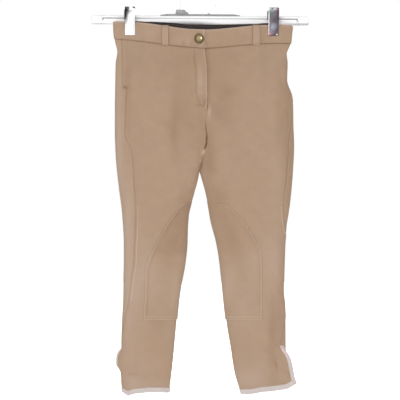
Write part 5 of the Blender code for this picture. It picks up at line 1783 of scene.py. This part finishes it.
class BREECHES_OT_waistband(bpy.types.Operator):
    """Make the waistband and its dark lining"""
    bl_idname = "breeches.waistband"
    bl_label = "Waistband"

    def execute(self, context):
        for side in SIDES:
            front_band(side, twill())
        back_band(twill())
        band_lining(lining_finish(context.scene.breeches_cloth.lining))
        return {"FINISHED"}


class BREECHES_OT_patches(bpy.types.Operator):
    """Make the inner-knee patches"""
    bl_idname = "breeches.patches"
    bl_label = "Knee Patches"

    def execute(self, context):
        for side in SIDES:
            knee_patch(side, twill())
        return {"FINISHED"}


class BREECHES_OT_bindings(bpy.types.Operator):
    """Make the bindings of the hems and their vents"""
    bl_idname = "breeches.bindings"
    bl_label = "Hem Bindings"

    def execute(self, context):
        tape = binding_finish(context.scene.breeches_cloth.binding)
        for side in SIDES:
            hem_binding(side, tape)
        return {"FINISHED"}


class BREECHES_OT_loops(bpy.types.Operator):
    """Make the belt loops"""
    bl_idname = "breeches.loops"
    bl_label = "Belt Loops"

    def execute(self, context):
        for label, (x, back) in LOOPS.items():
            belt_loop(label, x, back, twill())
        return {"FINISHED"}


class BREECHES_OT_sewing(bpy.types.Operator):
    """Sew the rows of stitches and the bar tacks that show"""
    bl_idname = "breeches.sewing"
    bl_label = "Topstitching"

    def execute(self, context):
        sizes = context.scene.breeches_sewing
        matched = thread_finish("matched_thread", sizes.matched)
        light = thread_finish("light_thread", sizes.light)
        for side in SIDES:
            end, front = SIDE_NAME[side], "front_" + SIDE_NAME[side]
            low = VENT_TOP[side] - 3
            near, far = sizes.outseam_rows
            sewn("outseam_" + end, cloth_tree(front),
                 [outseam_row(side, near, SEAM_RIB_FROM, low),
                  outseam_row(side, far, SEAM_RIB_FROM, LIGHT_FROM),
                  outseam_row(side, far, LIGHT_TO, low)], matched)
            sewn("outseam_light_" + end, cloth_tree(front),
                 [outseam_row(side, far, LIGHT_FROM + 2, LIGHT_TO - 2)], light,
                 coarse=LIGHT_COARSE)
            near, far = context.scene.breeches_cloth.patch_rows
            patch = cloth_tree("knee_patch_" + end)
            edge = patch_row(side, near, PATCH_TOP + 4)
            inner = patch_row(side, far, PATCH_TOP + 11)
            sewn("patch_light_" + end, patch, edge + inner[2:], light, coarse=LIGHT_COARSE)
            sewn("patch_" + end, patch, inner[:2], matched)
            sewn("tab_" + end, cloth_tree(front), tab_rows(side), matched)
            sewn("binding_" + end, cloth_tree("hem_binding_" + end), binding_rows(side), light,
                 "binding_fabric")
            sewn("band_" + end, cloth_tree("waistband_" + front, "waistband_back"),
                 band_rows(side, False) + band_rows(side, True), matched)
        sewn("fly", cloth_tree("front_right"), fly_rows() + fly_tacks(), matched)
        sewn("seat", cloth_tree("back_left"), seat_rows(), matched)
        loops = cloth_tree(*("belt_loop_" + label for label in LOOPS))
        sewn("loops", loops, loop_tacks(), matched)
        return {"FINISHED"}


class BREECHES_OT_button(bpy.types.Operator):
    """Make the shank button"""
    bl_idname = "breeches.button"
    bl_label = "Button"

    def execute(self, context):
        gold = tuple(context.scene.breeches_hanger.gold)
        # A painted highlight on the dome's right side.
        at = (BUTTON_X + 3.6, CLOTH_Y, WAIST_TOP_Z - BUTTON_DOWN + 0.8)
        gleam = ((1, 0.94, 0.86), at, (1.5, 99, 3.2))
        button(metal_finish("brass", gold, 0.4, 0.7, marks=(gleam,)),
               metal_finish("aged_brass", scaled(gold, 0.42), 0.5, 0.6))
        return {"FINISHED"}


class BREECHES_OT_bar(bpy.types.Operator):
    """Make the hanger's bar, caps, rib, boss and stud"""
    bl_idname = "breeches.bar"
    bl_label = "Hanger Bar"

    def execute(self, context):
        colours = context.scene.breeches_hanger
        # Painted shade on the bar's underside, broad near its middle and shorter at both ends.
        low = BAR_Z - BAR_HEIGHT / 2 - 0.5
        shaded = [((0.4, 0.4, 0.41), (-25, 0, low), (68, 99, 9))]
        shaded += [((0.5, 0.5, 0.51), (side * 186, 0, low), (42, 99, 5)) for side in SIDES]
        white = plastic_finish("white_plastic", colours.white, 0.32, 0.1, shaded)
        grey = plastic_finish("grey_plastic", colours.grey, 0.42, 0.4)
        # The groove's painted shade is lighter towards the bar's middle.
        lighter_middle = ((0.62, 0.62, 0.63), (0, 0, BAR_Z), (200, 99, 99))
        hanger_bar(white, plastic_finish("groove_dust_and_shade", scaled(colours.grey, 0.3), 0.8, 0.5,
                                         (lighter_middle,)))
        for side in SIDES:
            hanger_cap(side, white)
        saddle(plastic_finish("saddle_plastic", scaled(colours.grey, 0.85), 0.4, 0.3))
        boss(grey)
        stud(grey)
        return {"FINISHED"}


class BREECHES_OT_hook(bpy.types.Operator):
    """Bend the hook"""
    bl_idname = "breeches.hook"
    bl_label = "Hook"

    def execute(self, context):
        bright = scaled(context.scene.breeches_hanger.chrome, 1.14)
        hook(metal_finish("hook_chrome", bright, 0.1, 0.97))
        return {"FINISHED"}


class BREECHES_OT_clips(bpy.types.Operator):
    """Make the two spring clips on their sleeves"""
    bl_idname = "breeches.clips"
    bl_label = "Clips"

    def execute(self, context):
        chrome = tuple(context.scene.breeches_hanger.chrome)
        right, left, deep = CLIP_X[RIGHT], CLIP_X[LEFT], 99
        dark, grey = (0.028, 0.028, 0.03), (0.1, 0.1, 0.105)
        # The first clip's chrome carries painted dark reflections over its top, mostly at the
        # left, and a painted grey line down one edge.
        bright = metal_finish("chrome_painted_reflections", scaled(chrome, 1.05), 0.12, 0.92, (4, 1, 0.3), (
            (dark, (right - 7, 0, -54), (15, deep, 14)),
            (dark, (right - 9.5, 0, -64), (9, deep, 20)),
            (dark, (right + 7.5, 0, -52.4), (6.5, deep, 5)),
            (grey, (right + 9.8, 0, -75), (1.3, deep, 26))))
        # The second clip is the same chrome painted dark for the dark it reflects, with painted
        # reflections in grey, purple and blue, a painted highlight at a lower corner and a painted
        # light line down one edge.
        painted_dark_chrome = metal_finish("chrome_painted_dark", (0.165, 0.144, 0.163), 0.2, 0.62, (4, 1, 0.3), (
            ((0.12, 0.14, 0.135), (left - 5, 0, -61), (7, deep, 14)),
            ((0.1, 0.06, 0.09), (left + 8, 0, -68), (4, deep, 22)),
            ((0.23, 0.235, 0.28), (left, 0, -86), (7.5, deep, 8)),
            ((0.12, 0.07, 0.085), (left - 4, 0, -99), (7, deep, 5)),
            ((1, 0.97, 0.9), (left + 6, 0, -100.2), (1.6, deep, 1.6)),
            ((0.8, 0.8, 0.82), (left - 8.8, 0, -75), (1.1, deep, 30))))
        wire = metal_finish("clip_wire", scaled(chrome, 0.6), 0.25, 0.6)
        clip(RIGHT, bright, wire)
        clip(LEFT, painted_dark_chrome, wire)
        return {"FINISHED"}


class BREECHES_OT_stage(bpy.types.Operator):
    """Set the camera, the pale floor and the soft light"""
    bl_idname = "breeches.stage"
    bl_label = "Stage"

    def execute(self, context):
        sizes, scene = context.scene.breeches_stage, context.scene
        middle_z, cloth_y = -0.3985, CLOTH_Y * MM
        lens = bpy.data.cameras.new("camera")
        lens.lens, lens.sensor_width = sizes.lens, 36.0
        camera = put("camera", lens)
        camera.location = (0, cloth_y - sizes.distance, middle_z)
        camera.rotation_euler = (QUARTER_TURN, 0, 0)
        scene.camera = camera
        scene.view_settings.view_transform = "Standard"
        stage_floor(sizes.floor)
        stage_light("key_light", (-0.4, -2.4, 0.2), 1.2, 26.0, middle_z)
        stage_light("fill_light", (1.3, -1.9, 0.1), 1.6, 4.0, middle_z)
        stage_light("rear_light", (0.6, 2.4, 0.3), 1.4, 22.0, middle_z)
        stage_world(scene, sizes.ambient)
        return {"FINISHED"}


def stage_floor(height):
    """A wide pale floor with a faint unevenness."""
    made, tree, shader = new_finish("pale_floor", Roughness=0.95, Specular_IOR_Level=0.1,
                                    Emission_Color=(1, 1, 1, 1))
    glow = add(tree, "Mix", {0: add(tree, "LightPath").outputs["Is Camera Ray"], 2: 0.4,
                             3: 1.0}, data_type="FLOAT").outputs[0]
    fill(tree, shader, {"Emission Strength": glow})
    where = add(tree, "TexCoord").outputs["Object"]
    fill(tree, shader, {"Base Color": tint(tree, noise(tree, where, 0.3), opaque((0.9, 0.9, 0.9)),
                                           opaque((0.94, 0.94, 0.94)))})
    floor = begin("circle", "floor", (0, 0, height / MM), vertices=96, radius=6.0,
                  fill_type="NGON")
    close_up()
    floor.data.materials.append(made)


def stage_light(name, at, size, power, aim_z):
    """A square soft light that faces the garment."""
    light = bpy.data.lights.new(name, "AREA")
    light.size, light.energy = size, power
    lamp = put(name, light)
    lamp.location = at
    lamp.rotation_euler = (Vector((0, 0, aim_z)) - Vector(at)).to_track_quat("-Z", "Y").to_euler()


def stage_world(scene, ambient):
    """Plain white to look at, and softer, darker below, to light with."""
    scene.world = bpy.data.worlds.new("studio")
    scene.world.use_nodes = True
    tree = scene.world.node_tree
    around = add(tree, "SeparateXYZ", {0: add(tree, "TexCoord").outputs["Generated"]}).outputs[2]
    height = add(tree, "MapRange", {"Value": around, "From Min": -0.5, "From Max": 0.5,
                                    "To Min": 0.4, "To Max": 1.0}).outputs[0]
    rays = add(tree, "LightPath").outputs
    soft = maths(tree, "MULTIPLY", height, ambient)
    mirrored = add(tree, "Mix", {0: rays["Is Glossy Ray"], 2: soft, 3: height},
                   data_type="FLOAT").outputs[0]
    strength = add(tree, "Mix", {0: rays["Is Camera Ray"], 2: mirrored, 3: 1.0},
                   data_type="FLOAT").outputs[0]
    fill(tree, tree.nodes["Background"], {"Color": opaque((1, 1, 1)), "Strength": strength})


GROUPS = {"breeches_cloth": BreechesCloth, "breeches_sewing": BreechesSewing,
          "breeches_hanger": BreechesHanger, "breeches_stage": BreechesStage}
OPERATORS = (BREECHES_OT_panels, BREECHES_OT_waistband, BREECHES_OT_patches,
             BREECHES_OT_bindings, BREECHES_OT_loops, BREECHES_OT_sewing, BREECHES_OT_button,
             BREECHES_OT_bar, BREECHES_OT_hook, BREECHES_OT_clips, BREECHES_OT_stage)


class BREECHES_PT_sidebar(bpy.types.Panel):
    """The breeches' sizes, colours and pieces"""
    bl_idname = "BREECHES_PT_sidebar"
    bl_label = "Riding Breeches"
    bl_space_type = "VIEW_3D"
    bl_region_type = "UI"
    bl_category = "Breeches"

    def draw(self, context):
        for label, group in GROUPS.items():
            box = self.layout.box()
            for field in group.__annotations__:
                box.prop(getattr(context.scene, label), field)
        for operator in OPERATORS:
            self.layout.operator(operator.bl_idname)


def register():
    """Make the classes known and give the scene its settings."""
    for known in (*GROUPS.values(), *OPERATORS, BREECHES_PT_sidebar):
        bpy.utils.register_class(known)
    for label, group in GROUPS.items():
        setattr(bpy.types.Scene, label, PointerProperty(type=group))


def unregister():
    """Take it all back."""
    for label in GROUPS:
        delattr(bpy.types.Scene, label)
    for known in (BREECHES_PT_sidebar, *reversed(OPERATORS), *reversed(GROUPS.values())):
        bpy.utils.unregister_class(known)


def main():
    """Make every piece in order."""
    register()
    for operator in OPERATORS:
        getattr(bpy.ops.breeches, operator.bl_idname.split(".")[1])()


if __name__ == "__main__":
    main()
